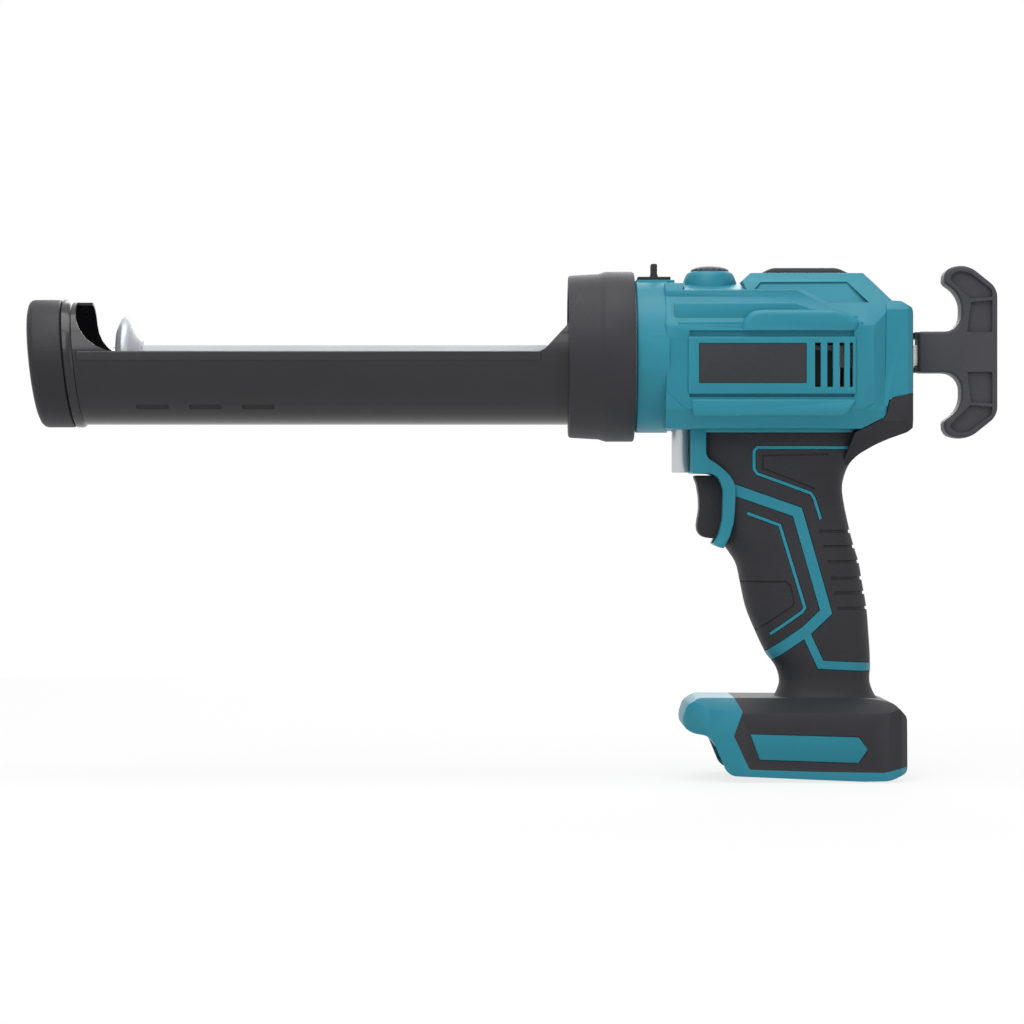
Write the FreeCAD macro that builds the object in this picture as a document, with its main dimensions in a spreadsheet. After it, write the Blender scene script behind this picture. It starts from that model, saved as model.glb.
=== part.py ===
import FreeCAD, Part
import math
import os
import re
import Sketcher

# Cordless caulking tool. +X runs from the nozzle to the pull handle, +Z is up, and the origin is the centre
# of the nozzle hole in the front cap. The cartridge axis is Z = 0, and the rod's drive axis lies a little
# above it.

# Driving dimensions in millimetres and degrees: name, value, what it measures and, where it isn't measured
# from the origin or by itself, the place that it is measured from.
SIZES = [
    ("holder_radius", 27.5, "cartridge holder, outside"),
    ("holder_wall", 1.2, "cartridge holder, sheet thickness"),
    ("rake", 6.6, "lean of the holder's front end, degrees"),
    ("cap_radius", 1.15, "front cap, outside the holder", "holder_radius"),
    ("cap_length", 14.0, "front cap, along the axis"),
    ("cap_wall", 2.4, "front cap, wall"),
    ("nozzle_radius", 11.0, "hole for the cartridge nozzle"),
    ("bead_radius", 1.2, "bead behind the front cap, outside the holder", "holder_radius"),
    ("bead_width", 4.6, "bead, along the axis"),
    ("mouth_start", 1.6, "front of the loading opening, behind the bead", "bead_rear"),
    ("mouth_radius", 17.5, "round corners of the loading opening"),
    ("edge_height", 4.3, "holder's long edges above the cartridge axis"),
    ("slot_first", 25.5, "first drain slot, behind the opening's front", "mouth_start"),
    ("slot_pitch", 23.5, "drain slot spacing"),
    ("slot_length", 13.0, "drain slot length"),
    ("slot_depth", 20.0, "drain slots below the cartridge axis"),
    ("axis_rise", 3.1, "drive axis above the cartridge axis"),
    ("ring_front", 238.3, "lock ring, front face"),
    ("ring_length", 29.5, "lock ring, along the axis"),
    ("ring_radius", 4.8, "lock ring, outside the nose socket", "socket_radius"),
    ("ring_step", 1.6, "lock ring, step down at the front"),
    ("ring_lip", 3.0, "lock ring, thickness of its front lip"),
    ("socket_radius", 5.9, "nose socket, outside the holder", "holder_radius"),
    ("plate_thickness", 2.0, "holder end plate"),
    ("run_gap", 0.3, "gap between turning or sliding pieces"),
    ("fit_gap", 0.05, "gap in a close fit"),
    ("rod_width", 9.0, "rack rod, across"),
    ("rod_height", 10.0, "rack rod, with its teeth"),
    ("rod_front", 47.1, "rack rod, front end"),
    ("rod_rear", 9.0, "rack rod, how deep it sits in the pull handle", "handle_front"),
    ("rod_travel", 190.0, "rack rod, stroke"),
    ("plunger_radius", 18.1, "plunger"),
    ("plunger_length", 11.3, "plunger, along the axis"),
    ("screw_radius", 2.5, "plunger screw"),
    ("rack_module", 1.25, "rack and pinion, module"),
    ("pinion_teeth", 11, "pinion, teeth"),
    ("pressure_angle", 25.0, "gear pressure angle, degrees"),
    ("tooth_slack", 0.16, "gear teeth, thinned by"),
    ("shaft_radius", 3.0, "pinion shaft"),
    ("wheel_module", 1.0, "worm wheel, module"),
    ("wheel_teeth", 34, "worm wheel, teeth"),
    ("wheel_width", 8.0, "worm wheel, face"),
    ("worm_pitch_radius", 4.5, "worm, pitch radius"),
    ("worm_turns", 7, "worm, turns of thread"),
    ("worm_shaft_radius", 2.5, "worm shaft"),
    ("bearing_radius", 5.5, "worm bearing, outside"),
    ("bearing_width", 3.0, "worm bearing, width"),
    ("pinion_place", 3.4, "pinion axis, beyond where its case clears the nose bosses",
     "nose_boss + boss_radius + case_half"),
    ("train_offset", 16.5, "motor and worm axis, to the right of the rod"),
    ("case_wall", 4.0, "gear case, end walls"),
    ("case_side", 3.0, "gear case, side walls"),
    ("case_base", 1.2, "gear case, bottom"),
    ("case_top", 1.65, "gear case, top face above the worm bearings", "worm_height + bearing_radius"),
    ("cover_thickness", 1.8, "gear case cover"),
    ("planet_module", 0.5, "planet gears, module"),
    ("sun_teeth", 12, "sun pinion, teeth"),
    ("planet_teeth", 15, "planet gear, teeth"),
    ("planet_width", 5.5, "planet gear, face"),
    ("ring_case_radius", 1.125, "ring gear case, wall outside its teeth", "ring_gear_root"),
    ("ring_case_length", 14.0, "ring gear case, length"),
    ("motor_radius", 12.0, "motor can, outside"),
    ("motor_wall", 1.0, "motor can, sheet thickness"),
    ("motor_length", 30.5, "motor can, length"),
    ("motor_cap", 4.0, "motor end cap, thickness"),
    ("disc_travel", 1.4, "clutch disc, stroke"),
    ("slider_travel", 4.5, "release slider, stroke"),
    ("slider_rear", 16.1, "release slider, rear end behind the housing's front face", "nose_front"),
    ("slider_length", 14.8, "release slider, length of its plate"),
    ("neck_radius", 6.5, "clutch disc, neck that the fork stands on"),
    ("flange_radius", 8.5, "clutch disc, flange before the fork"),
    ("disc_radius", 10.0, "clutch disc, face that meets the worm wheel"),
    ("planet_pin", 1.0, "planet carrier, radius of its pins"),
    ("motor_shaft", 1.5, "motor shaft, radius"),
    ("body_front", 13.4, "housing, front of the square part behind its front face", "nose_front"),
    ("nose_radius", 0.8, "housing, round front part, outside the nose socket", "socket_radius"),
    ("body_rear", 14.9, "housing, rear face behind the motor", "motor_rear + motor_cap"),
    ("core_half", 4.5, "housing, side wall beyond the motor", "train_offset + motor_radius"),
    ("half_width", 1.5, "housing, raised panel outside the side wall", "core_half"),
    ("crease_half", 19.0, "housing, half width at the crease below the roof"),
    ("crease_drop", 5.3, "housing, crease below the roof"),
    ("upper_ledge_half", 26.4, "housing, highest ledge on its flank, half width"),
    ("middle_ledge_half", 30.2, "housing, middle ledge, half width"),
    ("lower_ledge_half", 0.2, "housing, lowest ledge outside the side wall", "core_half"),
    ("upper_swelling_half", 0.2, "housing, long swelling over the panel, outside it", "half_width"),
    ("lower_swelling_half", 1.1, "housing, long swelling under the panel, outside the side wall",
     "core_half"),
    ("roof_low", 37.4, "housing top in front"),
    ("roof_high", 3.9, "housing top at the rear, above the front", "roof_low"),
    ("floor_depth", 0.5, "housing bottom, gap under the worm wheel",
     "wheel_tip - pinion_height + case_base + wall"),
    ("wall", 2.5, "housing wall"),
    ("skin", 1.6, "grip cover thickness"),
    ("grip_corner", 11.0, "grip, corner radius"),
    ("front_block", 25.3, "front of the block above the trigger, behind the housing's front face",
     "nose_front"),
    ("block_depth", 19.5, "bottom of the block above the trigger, below the housing", "floor_depth"),
    ("cheek_half", 18.6, "half width beside the trigger"),
    ("trigger_half", 7.5, "trigger, half its width"),
    ("trigger_travel", 6.0, "trigger, stroke"),
    ("switch_front", 30.1, "switch body, front face behind the block", "front_block"),
    ("switch_length", 28.5, "switch body, length"),
    ("switch_half", 12.0, "switch body, half its width"),
    ("spring_radius", 5.0, "trigger spring, middle of its wire"),
    ("wire_radius", 0.4, "trigger spring, wire"),
    ("spring_turns", 5, "trigger spring, turns"),
    ("spring_length", 10.9, "trigger spring, room for it at rest"),
    ("trigger_height", 29.3, "trigger, below the block"),
    ("trigger_room", 2.0, "gap under the trigger"),
    ("foot_half", 37.0, "foot, half its width"),
    ("foot_rear", 12.0, "foot, rear face behind the grip", "base_back"),
    ("foot_top", 7.6, "foot, top below the cuff", "cuff_depth"),
    ("foot_bottom", 5.9, "foot, bottom below the rails", "rail_level"),
    ("rail_level", 9.0, "top of the battery rails, below the seat", "seat_level"),
    ("seat_level", 22.9, "battery seat face, below the foot's top", "foot_top"),
    ("rail_half", 26.5, "half the gap between the battery rails"),
    ("channel_half", 30.5, "half the battery channel"),
    ("dial_place", 1.0, "speed dial's bezel, behind the slider's stroke", "slider_end + bezel_base"),
    ("dial_radius", 7.8, "speed dial"),
    ("dial_height", 2.6, "speed dial"),
    ("dial_stem", 3.0, "speed dial stem, radius"),
    ("bezel_base", 12.3, "dial bezel, radius at the housing"),
    ("bezel_top", 9.0, "dial bezel, radius at the dial"),
    ("bezel_height", 3.9, "dial bezel"),
    ("lamp_radius", 4.1, "lamp tube, outside"),
    ("lamp_place", 20.9, "lamp tube axis, behind the housing's front face", "nose_front"),
    ("lamp_bottom", 19.2, "lamp tube, lower end below the housing", "floor_depth"),
    ("label_front", 14.0, "label plate, behind the front of the square part", "body_front"),
    ("label_length", 47.5, "label plate, length"),
    ("label_top", 7.3, "label plate, top edge"),
    ("label_height", 17.6, "label plate, height"),
    ("label_thickness", 0.8, "label plate"),
    ("vent_first", 3.6, "first cooling slot, behind the label", "label_front + label_length"),
    ("vent_pitch", 5.4, "cooling slot spacing"),
    ("vent_width", 2.6, "cooling slot width"),
    ("vent_count", 4, "cooling slots on a side"),
    ("handle_rise", 5.0, "pull handle's middle above the cartridge axis"),
    ("handle_half", 8.0, "pull handle, half its thickness"),
    ("handle_front", 2.1, "pull handle, front of its stem behind the housing", "body_rear"),
    ("handle_rear", 35.6, "pull handle, rear face behind its stem's front", "handle_front"),
    ("handle_reach", 38.4, "pull handle, half its height"),
    ("stem_half", 9.2, "pull handle stem, half its height"),
    ("pin_radius", 2.0, "handle cross pin"),
    ("boss_radius", 3.5, "screw bosses in the housing"),
    ("nose_boss", 9.5, "front screw bosses, behind the housing's front face", "nose_front"),
    ("thread_radius", 1.5, "housing screws, thread"),
    ("head_radius", 2.9, "housing screws, head"),
    ("long_seat", 21.0, "long screws, head's seat to the right of the seam"),
    ("short_seat", 8.0, "short screws, head's seat to the right of the seam"),
    ("pad_thickness", 2.2, "top pad"),
    ("inlay_thickness", 1.0, "foot inlay"),
    ("board_front", -2.0, "control board, front edge behind the pinion axis", "pinion_place"),
    ("board_length", 50.0, "control board, length"),
    ("board_side", 25.0, "control board, outer face to the left of the seam"),
    ("board_thickness", 1.6, "control board"),
    ("board_low", 20.0, "control board, lower edge below the cartridge axis"),
    ("board_height", 25.0, "control board, height"),
    ("terminal_rear", 16.0, "terminal block, rear face ahead of the foot's rear"),
    ("terminal_length", 34.0, "terminal block, length"),
    ("terminal_half", 20.0, "terminal block, half its width"),
    ("terminal_height", 10.0, "terminal block, height"),
    ("blade_rear", 29.0, "terminal blades, rear end ahead of the foot's rear"),
    ("blade_length", 16.0, "terminal blades, length"),
    ("blade_place", 12.0, "terminal blades, middle to either side of the seam"),
    ("blade_thickness", 1.0, "terminal blades"),
    ("blade_gap", 0.2, "gap round a terminal blade in its slot"),
]

# Grip sections from top to bottom: name, depth and what it is below, front edge behind the housing's front
# face, front to back, half width.
GRIP = [
    ("root", 24.0, "0", 37.9, 60.5, 16.0),
    ("web", 12.2, "floor_depth", 38.4, 59.5, 16.0),
    ("index", 12.0, "web_depth", 39.8, 54.0, 16.5),
    ("guard", 16.0, "index_depth", 39.8, 55.6, 17.2),
    ("middle", 16.0, "guard_depth", 44.3, 55.6, 17.8),
    ("palm", 18.0, "middle_depth", 48.1, 55.2, 18.2),
    ("heel", 20.0, "palm_depth", 55.7, 49.2, 17.6),
    ("cuff", 16.0, "heel_depth", 63.5, 41.6, 17.4),
    ("base", 4.4, "foot_top", 62.9, 44.0, 18.0),
]
for section, depth, above, front, thick, half in GRIP:
    SIZES.append((section + "_depth", depth, "grip section, depth", above))
    SIZES.append((section + "_front", front, "grip section, front edge", "nose_front"))
    SIZES.append((section + "_back", thick, "grip section, back edge", section + "_front"))
    SIZES.append((section + "_half", half, "grip section, half width"))

# Places that follow from the driving dimensions.
PLACES = {
    "slope": "tan(rake * 1deg)",
    "spigot_radius": "cap_radius - cap_wall - fit_gap",
    "bead_front": "cap_length + run_gap",
    "bead_rear": "bead_front + bead_width",
    "plate_front": "ring_front + ring_lip + run_gap",
    "socket_front": "plate_front + plate_thickness",
    "ring_rear": "ring_front + ring_length",
    "nose_front": "ring_rear + run_gap",
    "slider_end": "slider_rear + slider_travel",
    "rack_addendum": "0.9 * rack_module",
    "rack_dedendum": "1.15 * rack_module",
    "rod_top": "axis_rise + rod_height / 2",
    "rod_bottom": "axis_rise - rod_height / 2",
    "rack_line": "rod_bottom + rack_addendum",
    "rack_pitch": "pi * rack_module",
    "pinion_pitch_radius": "rack_module * pinion_teeth / 2",
    "pinion_height": "rack_line - pinion_pitch_radius - fit_gap",
    "wheel_pitch_radius": "wheel_module * wheel_teeth / 2",
    "wheel_tip": "wheel_pitch_radius + 0.9 * wheel_module",
    "worm_height": "pinion_height + wheel_pitch_radius + worm_pitch_radius + fit_gap",
    "case_half": "wheel_tip + 0.6 + case_wall",
    "case_front": "pinion_place - case_half",
    "case_rear": "pinion_place + case_half",
    "case_floor": "wall - floor_depth",
    "case_left": "-rod_width / 2 - 1.5 - case_side",
    "case_right": "train_offset + wheel_width / 2 + 1.5 + case_side",
    "wheel_left": "train_offset - wheel_width / 2",
    "disc_face": "wheel_left - 0.1 - disc_travel",
    "cover_top": "case_top + cover_thickness",
    "cam_low": "cover_top + run_gap",
    "cam_top": "cam_low + 1.8",
    "carrier_front": "case_rear + 1.5",
    "planet_front": "carrier_front + 2.5",
    "planet_circle": "planet_module * (sun_teeth + planet_teeth) / 2",
    "ring_gear_root": "planet_module * (sun_teeth / 2 + planet_teeth + 1.15)",
    "motor_front": "case_rear + ring_case_length",
    "motor_rear": "motor_front + motor_length",
    "slider_seat": "roof_low + fit_gap",
    "bezel_face": "roof_low + bezel_height",
    "trigger_rear": "switch_front - spring_length - run_gap",
    "slot_bottom": "-block_depth - trigger_height - trigger_room",
    "roof_step": "dial_place + bezel_base + 0.7",
}

doc = FreeCAD.newDocument("caulking_tool")
sheet = doc.addObject("Spreadsheet::Sheet", "Sizes")
for row, (alias, value, meaning, *datum) in enumerate(SIZES, start=1):
    sheet.set("A" + str(row), meaning)
    sheet.set("B" + str(row), str(value))
    sheet.setAlias("B" + str(row), alias)
doc.recompute()
MEASURED_FROM = {alias: datum for alias, value, meaning, *datum in SIZES}
NODES = []


def formula(text):
    """Writes a formula in the sheet's own terms, with derived places spelled out."""
    def spelled(match):
        word = match.group()
        if word in PLACES:
            return "(" + formula(PLACES[word]) + ")"
        if word not in MEASURED_FROM:
            return word
        return "(" + " + ".join([formula(place) for place in MEASURED_FROM[word]] + ["Sizes." + word]) + ")"
    return re.sub(r"[a-z_]{3,}", spelled, str(text))


def size(text):
    return float(sheet.evalExpression(formula(text)))


def bind(thing, name, text):
    thing.setExpression(name, formula(text))


def node(thing, label):
    """Makes an object a piece of the tool under its own name."""
    thing.Label = label
    NODES.append(thing)
    return thing


def set_base(thing, x="0", y="0", z="0"):
    for axis, text in (("x", x), ("y", y), ("z", z)):
        bind(thing, "Placement.Base." + axis, text)


def draw(body, plane, corners, lift="0"):
    """Draws a closed outline in one of the body's own planes.

    A corner is (across, up) or (across, up, radius), each a formula. Every corner is tied to its formulas."""
    sketch = body.newObject("Sketcher::SketchObject", body.Name + "_outline")
    sketch.AttachmentSupport = [([f for f in body.Origin.OriginFeatures if f.Role == plane][0], "")]
    sketch.MapMode = "FlatFace"
    bind(sketch, "AttachmentOffset.Base.z", lift)
    points = [FreeCAD.Vector(size(corner[0]), size(corner[1]), 0) for corner in corners]
    count = len(points)
    arrive, leave, rounds = list(points), list(points), []
    geometry = []
    for index, corner in enumerate(corners):
        if len(corner) == 3:
            point = points[index]
            back = (points[index - 1] - point).normalize()
            ahead = (points[(index + 1) % count] - point).normalize()
            radius = size(corner[2])
            half = back.getAngle(ahead) / 2
            arrive[index] = point + back * (radius / math.tan(half))
            leave[index] = point + ahead * (radius / math.tan(half))
            middle = point + (back + ahead).normalize() * (radius / math.sin(half))
            turns_left = back.cross(ahead).z < 0
            ends = (arrive[index], leave[index]) if turns_left else (leave[index], arrive[index])
            angles = [math.atan2(end.y - middle.y, end.x - middle.x) for end in ends]
            circle = Part.Circle(middle, FreeCAD.Vector(0, 0, 1), radius)
            rounds.append((index, Part.ArcOfCircle(circle, *angles), 1 if turns_left else 2))
    for index in range(count):
        geometry.append(Part.LineSegment(leave[index], arrive[(index + 1) % count]))
    geometry.extend(arc for index, arc, first in rounds)
    geometry.extend(Part.Point(points[index]) for index, arc, first in rounds)
    sketch.addGeometry(geometry, False)
    rules, tied = [], []

    def rule(*values):
        rules.append(Sketcher.Constraint(*values))

    def place(item, end, index):
        rule("DistanceX", -1, 1, item, end, points[index].x)
        tied.append((len(rules) - 1, corners[index][0]))
        rule("DistanceY", -1, 1, item, end, points[index].y)
        tied.append((len(rules) - 1, corners[index][1]))

    rounded = {index for index, arc, first in rounds}
    for index in range(count):
        if index not in rounded:
            rule("Coincident", (index - 1) % count, 2, index, 1)
            place(index, 1, index)
    for number, (index, arc, first) in enumerate(rounds):
        arc_item = count + number
        corner_item = arc_item + len(rounds)
        sketch.setConstruction(corner_item, True)
        place(corner_item, 1, index)
        rule("PointOnObject", corner_item, 1, (index - 1) % count)
        rule("PointOnObject", corner_item, 1, index)
        rule("Tangent", (index - 1) % count, 2, arc_item, first)
        rule("Tangent", index, 1, arc_item, 3 - first)
        rule("Radius", arc_item, arc.Radius)
        tied.append((len(rules) - 1, corners[index][2]))
    sketch.addConstraint(rules)
    for number, text in tied:
        bind(sketch, "Constraints[%d]" % number, text)
    return sketch


def new_body(name):
    return doc.addObject("PartDesign::Body", name)


def prism(name, plane, corners, length, lift="0", both_ways=False, reverse=False):
    """A body padded from one outline. An XZ outline grows towards -Y, an XY one towards +Z and a YZ one
    towards +X."""
    body = new_body(name)
    pad = body.newObject("PartDesign::Pad", name + "_pad")
    pad.Profile = draw(body, plane, corners, lift)
    pad.Midplane = both_ways
    pad.Reversed = reverse
    bind(pad, "Length", length)
    return body


def turned(name, plane, corners, about, x="0", y="0", z="0"):
    """A body turned from one outline about an axis of its sketch, then set in place."""
    body = new_body(name)
    sketch = draw(body, plane, corners)
    turn = body.newObject("PartDesign::Revolution", name + "_turn")
    turn.Profile = sketch
    turn.ReferenceAxis = (sketch, [about])
    turn.Angle = 360
    set_base(body, x, y, z)
    return body


def on_drive_axis(name, corners):
    """A turned body on the rod's axis. Its corners are (along the tool, radius)."""
    return turned(name, "XZ_Plane", corners, "H_Axis", z="axis_rise")


def box(name, x, y, z):
    """A block between two values on each axis."""
    block = doc.addObject("Part::Box", name)
    for side, ends in (("Length", x), ("Width", y), ("Height", z)):
        bind(block, side, "(%s) - (%s)" % (ends[1], ends[0]))
    set_base(block, x[0], y[0], z[0])
    return block


TURN_TO = {
    "X": FreeCAD.Rotation(FreeCAD.Vector(0, 1, 0), 90),
    "Y": FreeCAD.Rotation(FreeCAD.Vector(1, 0, 0), -90),
    "Z": FreeCAD.Rotation(),
}


def bar(name, axis, radius, start, end, across):
    """A round bar along an axis from start to end. Across gives its place on the other two axes, in order."""
    round_bar = doc.addObject("Part::Cylinder", name)
    round_bar.Placement.Rotation = TURN_TO[axis]
    bind(round_bar, "Radius", radius)
    bind(round_bar, "Height", "(%s) - (%s)" % (end, start))
    rest = list(across)
    set_base(round_bar, *[start if letter == axis else rest.pop(0) for letter in "XYZ"])
    return round_bar


def several(kind, name, pieces):
    if len(pieces) == 1:
        return pieces[0]
    group = doc.addObject(kind, name)
    group.Shapes = list(pieces)
    return group


def fuse(name, *pieces):
    return several("Part::MultiFuse", name, pieces)


def common(name, *pieces):
    return several("Part::MultiCommon", name, pieces)


def cut(name, base, *tools):
    result = doc.addObject("Part::Cut", name)
    result.Base = base
    result.Tool = fuse(name + "_tools", *tools)
    return result


def sleeve(name, axis, outer, inner, start, end, across):
    return cut(name, bar(name + "_out", axis, outer, start, end, across),
               bar(name + "_in", axis, inner, "%s - 1" % start, "%s + 1" % end, across))


def mirrored(name, source):
    copy = doc.addObject("Part::Mirroring", name)
    copy.Source = source
    copy.Normal = FreeCAD.Vector(0, 1, 0)
    return copy


def shaped(name, shape, placement):
    feature = doc.addObject("Part::Feature", name)
    feature.Shape = shape
    feature.Placement = placement
    return feature


def directions(x, y, z):
    return FreeCAD.Rotation(FreeCAD.Vector(*x), FreeCAD.Vector(*y), FreeCAD.Vector(*z), "ZXY")


ALONG_X = directions((0, 1, 0), (0, 0, 1), (1, 0, 0))
ALONG_X_FROM_BELOW = directions((0, 0, -1), (0, 1, 0), (1, 0, 0))
ALONG_Y = directions((0, 0, 1), (1, 0, 0), (0, 1, 0))


def gear_outline(teeth, module, tip, root, slack, turn=0.0, height=0.0):
    """Involute outline about the Z axis with one tooth on the X axis, turned by an angle and lifted."""
    pressure = math.radians(size("pressure_angle"))
    pitch_radius = module * teeth / 2
    base_radius = pitch_radius * math.cos(pressure)
    half_at_pitch = (math.pi * module / 2 - slack) / (2 * pitch_radius)
    involute = math.tan(pressure) - pressure

    def flank_angle(radius):
        reached = math.acos(min(1.0, base_radius / radius))
        return half_at_pitch + involute - (math.tan(reached) - reached)

    foot = max(base_radius, root)
    radii = [foot + (tip - foot) * step / 4 for step in range(5)]
    edges = []
    last = None
    for tooth in range(teeth):
        middle = turn + 2 * math.pi * tooth / teeth

        def at(radius, angle):
            return FreeCAD.Vector(radius * math.cos(middle + angle), radius * math.sin(middle + angle),
                                  height)

        rise = [at(radius, -flank_angle(radius)) for radius in radii]
        fall = [at(radius, flank_angle(radius)) for radius in reversed(radii)]
        low = [at(root, -flank_angle(foot)), at(root, flank_angle(foot))]
        if last is not None:
            edges.append(Part.LineSegment(last, low[0]).toShape())
        else:
            first = low[0]
        if root < base_radius:
            edges.append(Part.LineSegment(low[0], rise[0]).toShape())
        for flank in (rise, fall):
            curve = Part.BSplineCurve()
            curve.interpolate(flank)
            edges.append(curve.toShape())
            if flank is rise:
                edges.append(Part.LineSegment(rise[-1], fall[0]).toShape())
        if root < base_radius:
            edges.append(Part.LineSegment(fall[-1], low[1]).toShape())
        last = low[1] if root < base_radius else fall[-1]
    edges.append(Part.LineSegment(last, first).toShape())
    return Part.Wire(edges)


def spur_gear(teeth, module, width, slack, turn=0.0):
    pitch_radius = module * teeth / 2
    wire = gear_outline(teeth, module, pitch_radius + 0.9 * module, pitch_radius - 1.15 * module, slack,
                        turn)
    return Part.Face(wire).extrude(FreeCAD.Vector(0, 0, width))


def disc(radius, start, end):
    return Part.makeCylinder(radius, end - start, FreeCAD.Vector(0, 0, start))


# Cartridge end: raked slabs cut the cap, its spigot and the bead to the holder's leaning front.
def raked(name, start, end, *round_pieces):
    reach = "45"
    slab = prism(name + "_slab", "XZ_Plane", [
        ("(%s) - %s * slope" % (start, reach), reach), ("(%s) - %s * slope" % (end, reach), reach),
        ("(%s) + %s * slope" % (end, reach), "-" + reach),
        ("(%s) + %s * slope" % (start, reach), "-" + reach),
    ], "90", both_ways=True)
    return common(name, slab, *round_pieces)


ON_CARTRIDGE = ("0", "0")
cap_outside = raked("cap_outside", "0", "cap_length",
                    bar("cap_round", "X", "cap_radius", "-20", "cap_length + 30", ON_CARTRIDGE))
cap_inside = raked("cap_inside", "cap_wall", "cap_length + 5",
                   bar("cap_bore", "X", "spigot_radius + fit_gap", "-20", "cap_length + 30", ON_CARTRIDGE))
nozzle_hole = bar("nozzle_hole", "X", "nozzle_radius", "-10", "cap_length", ON_CARTRIDGE)
node(cut("front_cap_solid", cap_outside, cap_inside, nozzle_hole), "front_cap")

spigot = raked("spigot", "cap_wall + fit_gap", "bead_front + 1",
               bar("spigot_round", "X", "spigot_radius", "-20", "bead_rear + 30", ON_CARTRIDGE))
spigot_bore = raked("spigot_bore", "cap_wall + fit_gap + holder_wall", "bead_rear + 8",
                    bar("spigot_hole", "X", "spigot_radius - holder_wall", "-20", "bead_rear + 30",
                        ON_CARTRIDGE))
lip_hole = bar("lip_hole", "X", "nozzle_radius + 3", "-20", "bead_rear", ON_CARTRIDGE)
bead = raked("bead", "bead_front", "bead_rear",
             bar("bead_round", "X", "bead_radius", "-20", "bead_rear + 30", ON_CARTRIDGE))
node(cut("front_ring_solid", fuse("front_ring_whole", spigot, bead), spigot_bore, lip_hole),
     "holder_front_ring")
tube = raked("tube", "bead_rear", "plate_front + 60",
             bar("tube_round", "X", "holder_radius", "0", "plate_front", ON_CARTRIDGE))
tube_bore = bar("tube_bore", "X", "holder_radius - holder_wall", "0", "plate_front + 1", ON_CARTRIDGE)
mouth = prism("mouth", "XZ_Plane", [
    ("mouth_start", "edge_height", "mouth_radius"), ("plate_front + 1", "edge_height"),
    ("plate_front + 1", "60"), ("mouth_start", "60"),
], "90", both_ways=True)
slots = []
for number in range(3):
    start = "slot_first + %d * slot_pitch" % number
    slots.append(box("drain_slot_%d" % number, (start, start + " + slot_length"), ("-45", "0"),
                     ("-slot_depth - 0.9", "0.9 - slot_depth")))
node(cut("holder_solid", tube, tube_bore, mouth, *slots), "cartridge_holder")

ON_DRIVE = ("0", "axis_rise")
node(sleeve("end_plate_solid", "X", "socket_radius", "rod_height / 2 + 3", "plate_front", "socket_front",
            ON_DRIVE),
     "holder_end_plate")
node(on_drive_axis("lock_ring_solid", [
    ("ring_front", "socket_radius - 1.8"), ("ring_front", "ring_radius - ring_step - 0.8"),
    ("ring_front + 0.8", "ring_radius - ring_step"),
    ("ring_front + 0.55 * ring_length", "ring_radius - ring_step"),
    ("ring_front + 0.63 * ring_length", "ring_radius"), ("ring_rear - 0.6", "ring_radius"),
    ("ring_rear", "ring_radius - 0.6"), ("ring_rear", "socket_radius + run_gap"),
    ("ring_front + ring_lip", "socket_radius + run_gap"), ("ring_front + ring_lip", "socket_radius - 1.8"),
]), "lock_ring")
node(on_drive_axis("nose_socket_solid", [
    ("socket_front", "rod_height / 2 + 4"), ("socket_front", "rod_height / 2 + 8"),
    ("nose_front - 4", "rod_height / 2 + 8"), ("nose_front - 4", "socket_radius - 4"),
    ("socket_front", "socket_radius - 4"), ("socket_front", "socket_radius"),
    ("nose_front - fit_gap", "socket_radius"), ("nose_front - fit_gap", "nose_radius - 8"),
    ("nose_front + wall + fit_gap", "nose_radius - 8"), ("nose_front + wall + fit_gap", "nose_radius - 5"),
    ("nose_front + 2 * wall", "nose_radius - 5"), ("nose_front + 2 * wall", "rod_height / 2 + 4"),
]), "nose_socket")

ROD_HOLE_Y = ("-rod_width / 2 - fit_gap", "rod_width / 2 + fit_gap")
ROD_HOLE_Z = ("rod_bottom - fit_gap", "rod_top + fit_gap")
node(cut("front_bush_solid", bar("front_bush_round", "X", "rod_height / 2 + 4", "socket_front + 6",
                                 "nose_front + 2 * wall", ON_DRIVE),
         box("front_bush_hole", ("socket_front", "body_front"), ROD_HOLE_Y, ROD_HOLE_Z)), "front_rod_bush")
node(cut("rear_bush_solid", box("rear_bush_block", ("body_rear - wall - 4", "body_rear"),
                                ("-rod_width / 2 - 3", "rod_width / 2 + 3"),
                                ("rod_bottom - 3", "rod_top + 3")),
         box("rear_bush_hole", ("body_rear - 20", "body_rear + 5"), ROD_HOLE_Y, ROD_HOLE_Z)),
         "rear_rod_bush")

# Rack rod: a square bar whose underside has teeth under the whole stroke, and what it carries.
rod_body = prism("rack_rod_solid", "YZ_Plane", [
    ("-rod_width / 2", "rod_bottom"), ("rod_width / 2", "rod_bottom"),
    ("rod_width / 2", "rod_top"), ("-rod_width / 2", "rod_top"),
], "rod_rear - rod_front", lift="rod_front")
gaps_ahead = math.ceil(size("rod_travel + 12") / size("rack_pitch"))
rack_first = "pinion_place - %d * rack_pitch" % gaps_ahead
tooth_room = "rack_pitch / 4 + tooth_slack / 2"
flank_in = "tan(pressure_angle * 1deg)"
gap = rod_body.newObject("PartDesign::Pocket", "tooth_gap")
gap.Profile = draw(rod_body, "XZ_Plane", [
    ("%s - (%s) - %s * (rack_addendum + 1)" % (rack_first, tooth_room, flank_in), "rod_bottom - 1"),
    ("%s + (%s) + %s * (rack_addendum + 1)" % (rack_first, tooth_room, flank_in), "rod_bottom - 1"),
    ("%s + (%s) - %s * rack_dedendum" % (rack_first, tooth_room, flank_in), "rack_line + rack_dedendum"),
    ("%s - (%s) + %s * rack_dedendum" % (rack_first, tooth_room, flank_in), "rack_line + rack_dedendum"),
])
gap.Midplane = True
bind(gap, "Length", "rod_width + 4")
teeth = rod_body.newObject("PartDesign::LinearPattern", "rack_teeth")
teeth.Originals = [gap]
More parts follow.
